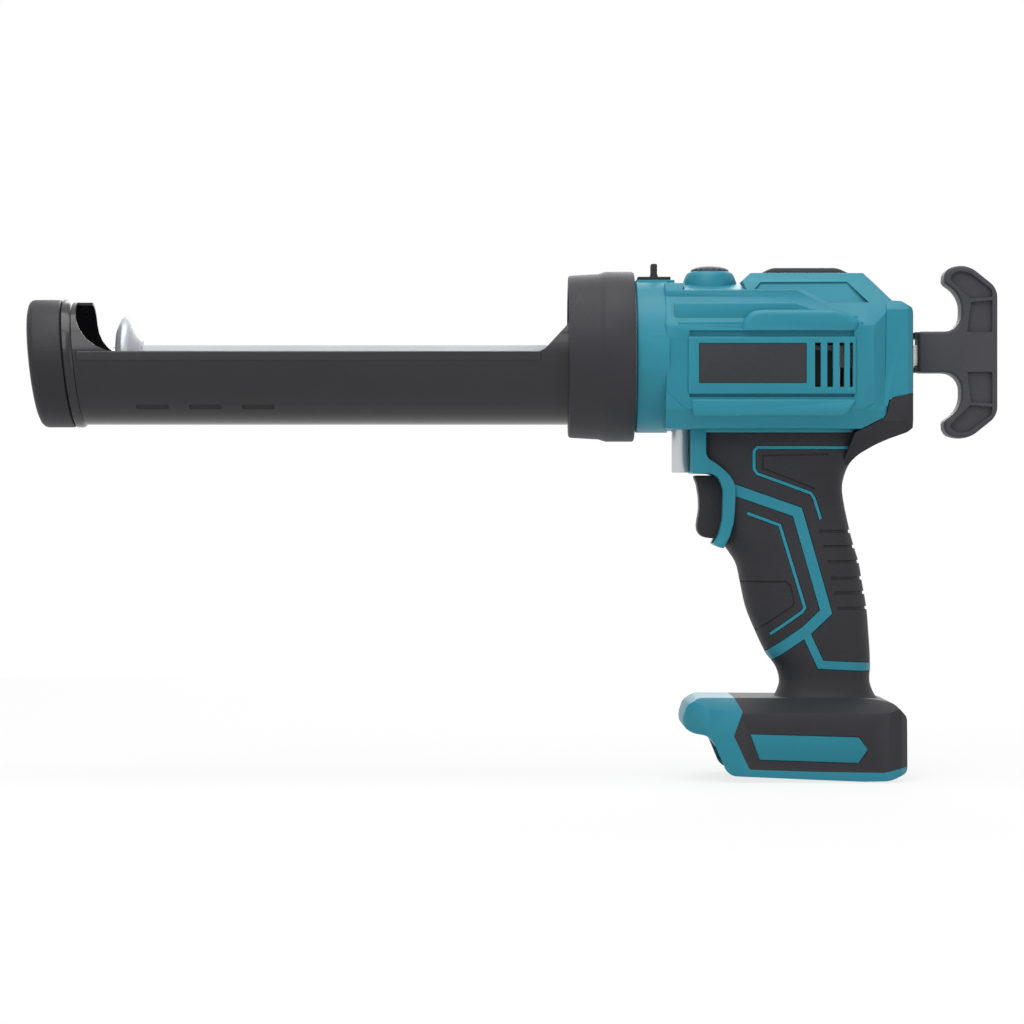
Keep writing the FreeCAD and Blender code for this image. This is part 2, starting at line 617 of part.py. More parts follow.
teeth.Direction = ([f for f in rod_body.Origin.OriginFeatures if f.Role == "X_Axis"][0], [""])
rack_count = gaps_ahead + 4
bind(teeth, "Length", "rack_pitch * %d" % (rack_count - 1))
teeth.Occurrences = rack_count
rod_body.Tip = teeth
PIN_AT = ("handle_front + 4.5", "axis_rise")
node(cut("rack_rod_drilled", rod_body,
         bar("rod_screw_hole", "X", "screw_radius + fit_gap", "rod_front - 1", "rod_front + 14", ON_DRIVE),
         bar("rod_pin_hole", "Y", "pin_radius + fit_gap", "-20", "20", PIN_AT)), "rack_rod")
plunger_front = "rod_front - plunger_length"
node(on_drive_axis("plunger_solid", [
    (plunger_front, "screw_radius + fit_gap"), (plunger_front, "plunger_radius - 4", "1.5"),
    (plunger_front + " + 3.2", "plunger_radius", "2"), (plunger_front + " + 6.2", "plunger_radius", "2"),
    ("rod_front - 3", "plunger_radius - 6.5", "2"), ("rod_front", "rod_height / 2 + 2"),
    ("rod_front", "screw_radius + fit_gap"),
]), "plunger")
node(fuse("plunger_screw_solid",
          bar("plunger_screw_thread", "X", "screw_radius", plunger_front, "rod_front + 12", ON_DRIVE),
          bar("plunger_screw_head", "X", "screw_radius + 2", plunger_front + " - 2", plunger_front,
              ON_DRIVE)),
     "plunger_screw")
handle_half_outline = [
    ("handle_front", "stem_half"), ("handle_rear - 16", "stem_half", "6"),
    ("handle_rear - 16", "stem_half + 15", "6"), ("handle_rear - 23.2", "handle_reach - 9", "3"),
    ("handle_rear - 23.2", "handle_reach - 3", "3"), ("handle_rear - 17", "handle_reach", "4"),
    ("handle_rear - 9", "handle_reach", "6"), ("handle_rear", "handle_reach - 8", "5"),
]
handle_outline = [(c[0], "handle_rise - (%s)" % c[1]) + c[2:] for c in handle_half_outline]
handle_outline += [(c[0], "handle_rise + (%s)" % c[1]) + c[2:] for c in reversed(handle_half_outline)]
node(cut("pull_handle_solid", prism("handle_block", "XZ_Plane", handle_outline, "2 * handle_half",
                                    both_ways=True),
         box("handle_socket", ("handle_front - 1", "rod_rear"), ROD_HOLE_Y, ROD_HOLE_Z),
         bar("handle_pin_hole", "Y", "pin_radius + fit_gap", "-20", "20", PIN_AT)), "pull_handle")
node(bar("handle_pin_solid", "Y", "pin_radius", "-handle_half", "handle_half", PIN_AT), "handle_pin")

# Gear case: a cast box around the pinion, clutch and worm wheel, with the rod passing through it.
PINION_AT = ("pinion_place", "pinion_height")
TRAIN_AT = ("train_offset", "worm_height")
case_block = box("case_block", ("case_front", "case_rear"), ("case_left", "case_right"),
                 ("case_floor", "case_top"))
case_room = box("case_room", ("case_front + case_wall", "case_rear - case_wall"),
                ("case_left + case_side", "case_right - case_side"),
                ("case_floor + case_base", "case_top + 1"))
case_passage = box("case_passage", ("case_front - 1", "case_rear + 1"),
                   ("-rod_width / 2 - 0.7", "rod_width / 2 + 0.7"),
                   ("rod_bottom - 0.7", "rod_top + 0.7"))
case_bores = bar("case_bores", "X", "bearing_radius + fit_gap", "case_front - 1", "case_rear + 1", TRAIN_AT)
shaft_bores = bar("shaft_bores", "Y", "shaft_radius + 1.5", "case_left - 1", "case_right + 1", PINION_AT)
case_edge = prism("case_edge", "YZ_Plane", [
    ("case_right + 1", "case_floor - 1"), ("case_right + 1", "case_floor + 3"),
    ("case_right - 3", "case_floor - 1"),
], "2 * case_half + 2", lift="case_front - 1")
node(cut("gear_case_solid", case_block, case_room, case_passage, case_bores, shaft_bores, case_edge),
     "gear_case")
fork_left = "disc_face - 1.6 - 2.05"
node(cut("case_cover_solid", box("cover_plate", ("case_front", "case_rear"), ("case_left", "case_right"),
                                 ("case_top", "cover_top")),
         box("fork_slot", ("pinion_place - 3.2", "pinion_place + 3.2"),
             (fork_left + " - 0.5", fork_left + " + 2.5 + disc_travel"),
             ("case_top - 1", "cover_top + 1"))),
     "gear_case_cover")
for side, start in (("left", "case_left"), ("right", "case_right - case_side")):
    node(sleeve(side + "_bush_solid", "Y", "shaft_radius + 1.5 - fit_gap", "shaft_radius + fit_gap", start,
                start + " + case_side", PINION_AT), side + "_shaft_bush")
for side, start in (("front", "case_front + 0.5"), ("rear", "case_rear - 0.5 - bearing_width")):
    node(sleeve(side + "_bearing_solid", "X", "bearing_radius", "worm_shaft_radius + fit_gap", start,
                start + " + bearing_width", TRAIN_AT), "worm_%s_bearing" % side)

pinion_gear = spur_gear(int(size("pinion_teeth")), size("rack_module"), size("rod_width"),
                        size("tooth_slack"))
pinion_shaft = disc(size("shaft_radius"), size("case_left + rod_width / 2"),
                    size("case_right + rod_width / 2"))
node(shaped("rack_pinion_solid", pinion_gear.fuse(pinion_shaft), FreeCAD.Placement(
    FreeCAD.Vector(size("pinion_place"), -size("rod_width") / 2, size("pinion_height")), ALONG_Y)),
    "rack_pinion")

wheel_module, wheel_teeth = size("wheel_module"), int(size("wheel_teeth"))
wheel_radius, wheel_width = size("wheel_pitch_radius"), size("wheel_width")
lead = wheel_module / (2 * size("worm_pitch_radius"))
wheel_ends = []
for end in (-1, 1):
    wheel_ends.append(gear_outline(wheel_teeth, wheel_module, size("wheel_tip"),
                                   wheel_radius - 1.2 * wheel_module,
                                   size("tooth_slack"), end * lead * wheel_width / 2 / wheel_radius,
                                   end * wheel_width / 2))
wheel_solid = Part.makeLoft(wheel_ends, True, True)
wheel_hub = disc(size("shaft_radius") + 2.5, 0, wheel_width / 2 + 1.4)
wheel_bore = disc(size("shaft_radius + fit_gap"), -wheel_width, wheel_width)
node(shaped("worm_wheel_solid", wheel_solid.fuse(wheel_hub).cut(wheel_bore), FreeCAD.Placement(
    FreeCAD.Vector(size("pinion_place"), size("train_offset"), size("pinion_height")), ALONG_Y)),
    "worm_wheel")

worm_pitch = math.pi * wheel_module
worm_radius, worm_turns = size("worm_pitch_radius"), size("worm_turns")
worm_root = worm_radius - 1.2 * wheel_module
thread_half = (worm_pitch / 2 - size("tooth_slack")) / 2
lean = math.tan(math.radians(size("pressure_angle")))


def thread_corner(radius, side):
    return FreeCAD.Vector(radius, 0, side * (thread_half - (radius - worm_radius) * lean))


worm_tip = worm_radius + 0.9 * wheel_module
thread_profile = Part.makePolygon([
    thread_corner(worm_root - 0.2, -1), thread_corner(worm_tip, -1), thread_corner(worm_tip, 1),
    thread_corner(worm_root - 0.2, 1), thread_corner(worm_root - 0.2, -1)])
thread_path = Part.makeHelix(worm_pitch, worm_turns * worm_pitch, worm_radius)
thread = Part.Wire(thread_path).makePipeShell([thread_profile], True, True)
worm_start = size("pinion_place") - worm_turns / 2 * worm_pitch
worm_core = disc(worm_root, -2, worm_turns * worm_pitch + 2)
worm_shaft = disc(size("worm_shaft_radius"), size("case_front") - worm_start,
                  size("carrier_front") - worm_start)
node(shaped("worm_shaft_solid", worm_core.fuse([thread, worm_shaft]), FreeCAD.Placement(
    FreeCAD.Vector(worm_start, size("train_offset"), size("worm_height")), ALONG_X_FROM_BELOW)),
    "worm_shaft")

# Clutch: the slider's cam plate pushes the fork, and the fork pushes the disc against the worm wheel.
node(turned("clutch_disc_solid", "XY_Plane", [
    ("shaft_radius + fit_gap", "disc_face - 5.1"), ("flange_radius", "disc_face - 5.1"),
    ("flange_radius", "disc_face - 3.7"),
    ("neck_radius", "disc_face - 3.7"), ("neck_radius", "disc_face - 1.6"),
    ("disc_radius", "disc_face - 1.6"), ("disc_radius", "disc_face"),
    ("shaft_radius + fit_gap", "disc_face"),
], "V_Axis", x="pinion_place", z="pinion_height"), "clutch_disc")
fork_blade = box("fork_blade", ("pinion_place - 3", "pinion_place + 3"), (fork_left, fork_left + " + 2"),
                 ("pinion_height", "case_top + 1.2"))
fork_yoke = bar("fork_yoke", "Y", "9.8", fork_left, fork_left + " + 2", PINION_AT)
fork_gap = fuse("fork_gap", bar("fork_hub_gap", "Y", "neck_radius + run_gap", fork_left + " - 1",
                                fork_left + " + 3", PINION_AT),
                box("fork_open", ("pinion_place - 15", "pinion_place + 15"),
                    (fork_left + " - 1", fork_left + " + 3"),
                    ("pinion_height - 15", "pinion_height")))
fork_pin = bar("fork_pin", "Z", "1.3", "case_top", "cam_top - 0.1", ("pinion_place", fork_left + " + 1"))
node(fuse("clutch_fork_solid", cut("fork_shape", fuse("fork_whole", fork_blade, fork_yoke), fork_gap),
          fork_pin),
     "clutch_fork")
slot_middle = fork_left + " + 1"
slot_slant = "disc_travel / slider_travel"
cam_slot = prism("cam_slot", "XY_Plane", [
    ("pinion_place + 1.8", "%s - 1.8 * %s - 1.6" % (slot_middle, slot_slant)),
    ("pinion_place + 1.8", "%s - 1.8 * %s + 1.6" % (slot_middle, slot_slant)),
    ("pinion_place - slider_travel - 1.8",
     "%s + (slider_travel + 1.8) * %s + 1.6" % (slot_middle, slot_slant)),
    ("pinion_place - slider_travel - 1.8",
     "%s + (slider_travel + 1.8) * %s - 1.6" % (slot_middle, slot_slant)),
], "5", lift="cam_low - 1")
SLIDER_STEM = ("nose_front + 6.5", "nose_front + 11")
cam_plate = fuse("cam_whole", box("cam_arm", ("nose_front + 5", "pinion_place + 7"), ("-5", "5"),
                                  ("cam_low", "cam_top")),
                 box("cam_head", ("pinion_place - 10", "pinion_place + 7"), ("-5", fork_left + " + 7"),
                     ("cam_low", "cam_top")))
node(cut("cam_plate_solid", cam_plate, cam_slot), "cam_plate")
slider_base = box("slider_base", ("slider_rear - slider_length", "slider_rear"), ("-6", "6"),
                  ("slider_seat", "slider_seat + 1.9"))
slider_post = box("slider_post", ("nose_front + 7", "nose_front + 10.4"), ("-5", "5"),
                  ("slider_seat", "slider_seat + 7.3"))
slider_stem = box("slider_stem", SLIDER_STEM, ("-2.5", "2.5"), ("cam_top", "slider_seat + 1"))
node(fuse("release_slider_solid", slider_base, slider_post, slider_stem), "release_slider")

# Planet stage and motor, in line with the worm.
planet_module = size("planet_module")
sun_teeth, planet_teeth = int(size("sun_teeth")), int(size("planet_teeth"))
ring_teeth = sun_teeth + 2 * planet_teeth
ring_radius = planet_module * ring_teeth / 2
ring_hole = Part.Face(gear_outline(ring_teeth, planet_module, ring_radius + 1.15 * planet_module,
                                   ring_radius - 0.9 * planet_module, -size("tooth_slack")))
ring_length = size("ring_case_length")
ring_room = ring_hole.extrude(FreeCAD.Vector(0, 0, ring_length))
ring_case = disc(size("ring_case_radius"), 0, ring_length).cut(ring_room)
TRAIN_PLACE = FreeCAD.Vector(0, size("train_offset"), size("worm_height"))
node(shaped("ring_case_solid", ring_case, FreeCAD.Placement(
    TRAIN_PLACE + FreeCAD.Vector(size("case_rear"), 0, 0), ALONG_X)), "ring_gear_case")
planet_width = size("planet_width")
pin_circle = size("planet_circle")
PLANET_ANGLES = [2 * math.pi * number / 3 for number in range(3)]
carrier = disc(ring_radius - 1.5, 0, 2)
for angle in PLANET_ANGLES:
    pin_centre = FreeCAD.Vector(pin_circle * math.cos(angle), pin_circle * math.sin(angle), 0)
    carrier = carrier.fuse(Part.makeCylinder(size("planet_pin"), 2.5 + planet_width, pin_centre))
node(shaped("planet_carrier_solid", carrier, FreeCAD.Placement(
    TRAIN_PLACE + FreeCAD.Vector(size("carrier_front"), 0, 0), ALONG_X)), "planet_carrier")
for letter, angle in zip("abc", PLANET_ANGLES):
    facing_sun = angle + math.pi + math.pi / planet_teeth
    planet = spur_gear(planet_teeth, planet_module, planet_width, size("tooth_slack"), facing_sun)
    planet = planet.cut(disc(size("planet_pin + fit_gap"), -1, planet_width + 1))
    pin_offset = FreeCAD.Vector(0, pin_circle * math.cos(angle), pin_circle * math.sin(angle))
    node(shaped("planet_%s_solid" % letter, planet, FreeCAD.Placement(
        TRAIN_PLACE + FreeCAD.Vector(size("planet_front"), 0, 0) + pin_offset, ALONG_X)),
        "planet_gear_" + letter)
sun = spur_gear(sun_teeth, planet_module, planet_width + 1, size("tooth_slack"))
motor_start = size("motor_front") - size("planet_front")
motor_end = size("motor_rear") - size("planet_front")
armature = sun.fuse([disc(size("motor_shaft"), planet_width, motor_end + size("motor_cap")),
                     disc(size("motor_radius") - 3.4, motor_start + 4.5, motor_end - 6),
                     disc(4.0, motor_end - 4.5, motor_end - 0.5)])
node(shaped("armature_solid", armature, FreeCAD.Placement(
    TRAIN_PLACE + FreeCAD.Vector(size("planet_front"), 0, 0), ALONG_X)), "motor_armature")
motor_out = bar("motor_out", "X", "motor_radius", "motor_front", "motor_rear", TRAIN_AT)
motor_in = bar("motor_in", "X", "motor_radius - motor_wall", "motor_front + 1.2", "motor_rear + 1",
               TRAIN_AT)
motor_hole = bar("motor_hole", "X", "motor_shaft + fit_gap", "motor_front - 1", "motor_front + 3", TRAIN_AT)
node(cut("motor_can_solid", motor_out, motor_in, motor_hole), "motor_can")
magnet_ring = sleeve("magnet_ring", "X", "motor_radius - motor_wall", "motor_radius - 2.9",
                     "motor_front + 3.5",
                     "motor_rear - 7", TRAIN_AT)
node(cut("magnets_solid", magnet_ring, box("magnet_gap", ("motor_front", "motor_rear"),
                                           ("train_offset - 4", "train_offset + 4"),
                                           ("worm_height - 20", "worm_height + 20"))),
     "motor_magnets")
node(cut("motor_cap_solid", bar("motor_cap_round", "X", "motor_radius", "motor_rear",
                                "motor_rear + motor_cap", TRAIN_AT),
         bar("motor_cap_hole", "X", "motor_shaft + fit_gap", "motor_rear - 1", "motor_rear + motor_cap + 1",
             TRAIN_AT)),
     "motor_end_cap")


# Housing: each outline is (across, up, inward across, inward up[, radius]), so that the inside follows the
# outside.
def shrunk(outline, by):
    corners = []
    for corner in outline:
        across = "%s + (%d) * (%s)" % (corner[0], corner[2], by)
        up = "%s + (%d) * (%s)" % (corner[1], corner[3], by)
        corners.append((across, up) + tuple(corner[4:]))
    return corners


BODY_SIDE = [
    ("body_front", "roof_low", 1, -1), ("roof_step", "roof_low", 0, -1),
    ("roof_step + 6.5", "roof_high", 0, -1), ("body_rear - 24.1", "roof_high", 0, -1),
    ("body_rear - 11.1", "roof_high - 14.1", -1, -1), ("body_rear - 6.9", "roof_high - 14.1", -1, -1),
    ("body_rear", "roof_high - 21", -1, -1), ("body_rear", "-floor_depth", -1, 1),
    ("body_front", "-floor_depth", 1, 1),
]
BODY_SECTION = [
    ("0", "roof_high + 4", 0, -1), ("4 + crease_drop - crease_half", "roof_high + 4", 0, -1),
    ("-crease_half", "roof_high - crease_drop", 1, -1), ("-core_half", "16", 1, -1),
    ("-core_half", "8.3 - floor_depth", 1, 1), ("6.4 - core_half", "-floor_depth", 1, 1),
    ("0", "-floor_depth", 0, 1),
]
BODY_PLAN = [
    ("body_front", "0", 1, 0), ("body_front", "1 - core_half", 1, 1),
    ("body_front + 1", "-core_half", 1, 1),
    ("body_rear - 27", "-core_half", 0, 1), ("body_rear - 7", "3.5 - core_half", -1, 1),
    ("body_rear", "10.4 - core_half", -1, 1), ("body_rear", "0", -1, 0),
]
# Raised forms on the housing's side, each from the seam outwards to its own half width.
BODY_RELIEF = [
    ("upper_ledge", [
        ("body_front", "roof_low - 6.5"), ("body_rear - 51.6", "roof_low - 6.5"),
        ("body_rear - 39.9", "roof_low - 12.2"),
        ("body_rear - 18.9", "roof_low - 13.4"), ("body_rear - 18.9", "8"), ("body_front", "8"),
    ]),
    ("middle_ledge", [
        ("body_front + 3.5", "roof_low - 12"), ("body_rear - 53.3", "roof_low - 12"),
        ("body_rear - 45.9", "roof_low - 14.4"),
        ("body_rear - 20.9", "roof_low - 15.4"), ("body_rear - 20.9", "8"), ("body_front + 3.5", "8"),
    ]),
    ("lower_ledge", [
        ("body_front + 4.9", "roof_low - 19.4"), ("body_rear - 24.9", "roof_low - 19.4"),
        ("body_rear - 24.9", "8"),
        ("body_front + 4.9", "8"),
    ]),
    ("upper_swelling", [
        ("label_front + 21", "label_top + 11.4"), ("label_front + 25.3", "label_top + 15.3"),
        ("body_rear - 35.5", "label_top + 15.3", "4"), ("body_rear - 25.5", "label_top + 10.1", "2"),
        ("body_rear - 28.5", "label_top + 4.9"), ("label_front + 21", "label_top + 4.9"),
    ]),
    ("lower_swelling", [
        ("label_front - 3.5", "label_top - label_height - 6.5"),
        ("body_rear - 26.9", "label_top - label_height - 6.5", "3"),
        ("body_rear - 32.9", "label_top - label_height - 14.2", "3"),
        ("label_front - 2.5", "label_top - label_height - 14.2"),
    ]),
]
PANEL = [
    ("label_front - 4.7", "label_top + 3.3"), ("body_rear - 28.1", "label_top + 3.3"),
    ("body_rear - 28.1", "label_top - label_height - 4.3"),
    ("label_front - 4.7", "label_top - label_height - 4.3"),
]
FOOT_SIDE = [
    ("foot_rear - 94", "-foot_top", 1, -1), ("foot_rear - 99.6", "-foot_top - 6", 1, 0),
    ("foot_rear - 99.6", "-foot_top - 13.5", 1, 0), ("foot_rear - 94", "-foot_top - 16.8", 1, 1),
    ("foot_rear - 86.5", "-foot_top - 18.6", 1, 1), ("foot_rear - 77.8", "3 - foot_bottom", 1, 1),
    ("foot_rear - 19", "-foot_bottom", 0, 1), ("foot_rear - 2", "0.8 - foot_bottom", -1, 1),
    ("foot_rear", "3.5 - foot_bottom", -1, 1), ("foot_rear", "-foot_top - 10", -1, -1),
    ("foot_rear - 7.5", "-foot_top - 2", -1, -1), ("foot_rear - 15", "-foot_top", -1, -1),
]
FOOT_PLAN = [
    ("foot_rear - 100", "0", 1, 0), ("foot_rear - 100", "19 - foot_half", 1, 1),
    ("foot_rear - 97", "12.8 - foot_half", 1, 1),
    ("foot_rear - 87", "3.8 - foot_half", 1, 1), ("foot_rear - 73", "-foot_half", 1, 1),
    ("foot_rear - 13", "-foot_half", -1, 1, "6"), ("foot_rear", "13 - foot_half", -1, 1, "6"),
    ("foot_rear", "0", -1, 0),
]
FOOT_SECTION = [
    ("0", "-foot_top + 1", 0, -1), ("14 - foot_half", "-foot_top + 1", 1, -1),
    ("-foot_half", "-foot_top - 9", 1, -1),
    ("-foot_half", "-foot_bottom - 1", 1, 1), ("0", "-foot_bottom - 1", 0, 1),
]


def half_block(name, side, plan, section, by, plan_low, plan_high, start, length):
    """Left half of a form that has one outline from the side, one from above and one from the front."""
    return common(name, prism(name + "_side", "XZ_Plane", shrunk(side, by), "60"),
                  prism(name + "_plan", "XY_Plane", shrunk(plan, by), "(%s) - (%s)" % (plan_high, plan_low),
                        lift=plan_low),
                  prism(name + "_section", "YZ_Plane", shrunk(section, by), length, lift=start))


def body_block(name, by):
    return half_block(name, BODY_SIDE, BODY_PLAN, BODY_SECTION, by, "-60", "60", "body_front - 20", "160")


def foot_block(name, by):
    return half_block(name, FOOT_SIDE, FOOT_PLAN, FOOT_SECTION, by, "-220", "-100", "foot_rear - 140",
                      "160")


def nose_half(name, by, start, end):
    ring = bar(name + "_round", "X", "nose_radius - (%s)" % by, start, end, ON_DRIVE)
    return common(name, ring, box(name + "_left", (start, end), ("-60", "0"), ("-60", "60")))


def grip_half(name, by):
    """Left half of the grip, lofted through its sections."""
    body = new_body(name)
    sections = []
    for section in (row[0] for row in GRIP):
        near = "%s_front + (%s)" % (section, by)
        far = "%s_back - (%s)" % (section, by)
        side = "(%s) - %s_half" % (by, section)
        corner = "grip_corner - (%s)" % by
        sections.append(draw(body, "XY_Plane",
                             [(near, "0"), (near, side, corner), (far, side, corner), (far, "0")],
                             "-%s_depth" % section))
    loft = body.newObject("PartDesign::AdditiveLoft", name + "_loft")
    loft.Profile = sections[0]
    loft.Sections = sections[1:]
    return body


CHEEK = [
    ("front_block", "5 - floor_depth"), ("front_block", "-block_depth"),
    ("front_block + 9", "-block_depth", "4"),
    ("index_front", "-block_depth - 5.2", "3"), ("guard_front", "-guard_depth", "6"),
    ("guard_front - 4.4", "slot_bottom - 0.4"), ("guard_front + 0.7", "slot_bottom - 3.2"),
    ("middle_front + 1.8", "-middle_depth - 4"), ("middle_front + 9", "-middle_depth - 4"),
    ("middle_front + 9", "5 - floor_depth"),
]
WEB = [
    ("body_rear - 1", "-floor_depth"), ("web_back + 6.4", "-floor_depth - 8.6"),
    ("web_back - 3", "-web_depth - 6", "6"),
    ("web_back - 22", "-web_depth - 6"), ("web_back - 22", "-floor_depth"),
]
WEB_CORE = [
    ("body_rear - 6", "5 - floor_depth"), ("body_rear - 6", "-floor_depth"),
    ("web_back + 5.4", "-floor_depth - 6.6"),
    ("web_back - 4.6", "-web_depth - 4", "5"), ("web_back - 22", "-web_depth - 4"),
    ("web_back - 22", "5 - floor_depth"),
]
slider_pad = box("slider_pad", ("nose_front", "body_front + 2"), ("-9", "0"),
                 ("roof_low - wall", "roof_low"))
body_relief = [prism(name, "XZ_Plane", outline, name + "_half") for name, outline in BODY_RELIEF]
body_outer = fuse("body_outer", body_block("body_form", "0"),
                  nose_half("nose_form", "0", "nose_front", "body_front + 2"),
                  slider_pad, prism("panel", "XZ_Plane", PANEL, "half_width"), *body_relief)
grip_core = fuse("grip_core", grip_half("grip_core_form", "skin"),
                 prism("cheek", "XZ_Plane", CHEEK, "cheek_half"),
                 prism("web_core", "XZ_Plane", WEB_CORE, "web_half + 1.5 - skin"))
foot_outer = foot_block("foot_form", "0")
shell_outer = fuse("shell_outer", body_outer, grip_core, foot_outer)
foot_room = common("foot_room", foot_block("foot_inner", "wall"),
                   box("foot_upper", ("foot_rear - 120", "foot_rear"), ("-60", "0"),
                       ("wall - seat_level", "0")))
hollows = fuse("hollows", body_block("body_inner", "wall"),
               nose_half("nose_inner", "wall", "nose_front + wall", "body_front + 6"),
               grip_half("grip_inner", "skin + wall"), foot_room)
SCREWS = [
    ("nose_top", "nose_boss", "axis_rise + 15", "long"),
    ("nose_low", "nose_boss", "axis_rise - 23", "long"),
    ("roof", "case_rear + 5.5", "roof_high - 8", "long"),
    ("rear_top", "body_rear - 7.5", "rod_top + 10.5", "long"),
    ("rear_low", "body_rear - 8.5", "rod_bottom - 18", "long"),
    ("palm", "palm_front + 24", "-palm_depth", "short"),
    ("heel", "heel_front + 28", "-heel_depth - 8", "short"),
    ("beak", "foot_rear - 88", "-foot_top - 8", "short"),
    ("tail", "foot_rear - 9", "-foot_top - 13.5", "short"),
]
bosses, pilots, clearances, screws = [], [], [], {"long": [], "short": []}
for name, x, z, kind in SCREWS:
    bosses.append(bar("boss_" + name, "Y", "boss_radius", "-60", "0", (x, z)))
    pilots.append(bar("pilot_" + name, "Y", "thread_radius + fit_gap", "-8.5", "1", (x, z)))
    clearances.append(bar("clear_" + name, "Y", "thread_radius + fit_gap", "-1", "40", (x, z)))
    clearances.append(bar("head_room_" + name, "Y", "head_radius + run_gap", kind + "_seat", "60", (x, z)))
    screws[kind].append(fuse("screw_" + name, bar("thread_" + name, "Y", "thread_radius", "-8",
                                                  kind + "_seat", (x, z)),
                             bar("head_" + name, "Y", "head_radius", kind + "_seat", kind + "_seat + 2.4",
                                 (x, z))))
clearances.append(bar("motor_room", "X", "ring_case_radius + 0.4", "case_rear - 1",
                      "motor_rear + motor_cap + 1", TRAIN_AT))
clearances.append(box("case_room", ("case_front - run_gap", "case_rear + run_gap"),
                      ("0", "case_right + run_gap"),
                      ("wall - floor_depth", "cover_top + run_gap")))
board_posts = [box("board_post_%d" % number, (x, x + " + 4"), ("-half_width", "-board_side"),
                   ("2 - board_low", "board_height - board_low - 2"))
               for number, x in enumerate(("board_front + 4", "board_front + board_length - 8"))]
inside_forms = common("inside_forms", shell_outer, fuse("inside_whole", *bosses))
shell_ribbed = fuse("shell_ribbed", cut("shell_hollow", shell_outer, hollows), inside_forms)

socket_neck = bar("socket_neck", "X", "nose_radius - 8 + fit_gap", "nose_front - 1",
                  "nose_front + wall + 1", ON_DRIVE)
bush_window = box("bush_window", ("body_rear - 5", "body_rear + 5"),
                  ("-rod_width / 2 - 3", "rod_width / 2 + 3"),
                  ("rod_bottom - 3", "rod_top + 3"))
slider_slot = box("slider_slot", ("nose_front + 6.2", "nose_front + 11.3 + slider_travel"), ("-2.8", "2.8"),
                  ("roof_low - 10", "roof_low + 5"))
dial_hole = bar("dial_hole", "Z", "dial_stem + run_gap", "roof_low - 10", "roof_low + 5",
                ("dial_place", "0"))
lamp_hole = bar("lamp_hole", "Z", "lamp_radius + fit_gap", "-floor_depth - 30", "wall - floor_depth",
                ("lamp_place", "0"))
trigger_slot = box("trigger_slot", ("front_block - 10", "switch_front"),
                   ("-trigger_half - 0.6", "trigger_half + 0.6"),
                   ("slot_bottom", "-block_depth - 0.4"))
channel = box("channel", ("foot_rear - 120", "foot_rear - 6"), ("-channel_half", "channel_half"),
              ("-rail_level", "-seat_level"))
channel_mouth = box("channel_mouth", ("foot_rear - 120", "foot_rear - 6"), ("-rail_half", "rail_half"),
                    ("-220", "-rail_level"))
BLADE_SIDES = (("left", "-blade_place"), ("right", "blade_place"))
BLADE_ENDS = ("foot_rear - blade_rear - blade_length", "foot_rear - blade_rear")
blade_slots = []
for side, middle in BLADE_SIDES:
    slot_half = "(blade_thickness / 2 + blade_gap)"
    blade_slots.append(box("blade_slot_" + side,
                           (BLADE_ENDS[0] + " - blade_gap", BLADE_ENDS[1] + " + blade_gap"),
                           (middle + " - " + slot_half, middle + " + " + slot_half),
                           ("-seat_level - 1", "-seat_level + wall + 1")))
label_recess = box("label_recess", ("label_front", "label_front + label_length"),
                   ("-half_width - 1", "label_thickness - half_width"),
                   ("label_top - label_height", "label_top"))
vents = []
for number in range(int(size("vent_count"))):
    start = "vent_first + %d * vent_pitch" % number
    vents.append(box("vent_%d" % number, (start, start + " + vent_width"),
                     ("-half_width - 5", "-half_width + 2 * wall + 2"),
                     ("-12", "8.7")))
INLAY = [
    ("foot_rear - 70", "-foot_top - 18"), ("foot_rear - 20", "-foot_top - 18.5"),
    ("foot_rear - 16", "-foot_top - 24.5"),
    ("foot_rear - 20", "-foot_top - 30"), ("foot_rear - 65", "-foot_top - 29.5"),
]
inlay_recess = prism("inlay_recess", "XZ_Plane", INLAY, "10", lift="foot_half - inlay_thickness")
left_shell = cut("left_shell", shell_ribbed, socket_neck, bush_window, slider_slot, dial_hole, lamp_hole,
                 trigger_slot, channel,
                 channel_mouth, blade_slots[0], label_recess, inlay_recess, *vents)
left_posts = common("left_posts", body_block("post_limit", "wall / 2"), fuse("posts_whole", *board_posts))
node(cut("left_housing_solid", fuse("left_with_posts", left_shell, left_posts), *pilots), "left_housing")
node(cut("right_housing_solid", mirrored("right_shell", left_shell), *clearances), "right_housing")
for kind, group in screws.items():
    bundle = doc.addObject("Part::Compound", kind + "_screws_solid")
    bundle.Links = group
    node(bundle, kind + "_housing_screws")

# The cover widens under the housing's rear end into a saddle for the hand.
SADDLE_SECTION = [
    ("0", "-floor_depth"), ("7.4 - core_half", "-floor_depth"), ("-web_half - 1.5", "-floor_depth - 8"),
    ("-web_half - 1.5", "-floor_depth - 20"), ("0", "-floor_depth - 20"),
]
saddle = common("saddle", prism("saddle_side", "XZ_Plane", WEB, "core_half"),
                prism("saddle_section", "YZ_Plane", SADDLE_SECTION, "50", lift="web_back - 8"))
cover_form = fuse("cover_form", grip_half("grip_skin_form", "0"),
                  prism("web_form", "XZ_Plane", WEB, "web_half + 1.5"), saddle)
cover_limit = box("cover_limit", ("front_block - 20", "body_rear"), ("-60", "0"),
                  ("-foot_top - 0.02", "-floor_depth - 0.02"))
finger_room = box("finger_room", ("front_block - 10", "index_front + 2"), ("-60", "0"),
                  ("slot_bottom", "-block_depth"))
left_cover = cut("left_cover_solid", common("cover_trimmed", cover_form, cover_limit), shell_outer,
                 trigger_slot, finger_room)
node(left_cover, "left_grip_cover")
node(mirrored("right_cover_solid", left_cover), "right_grip_cover")

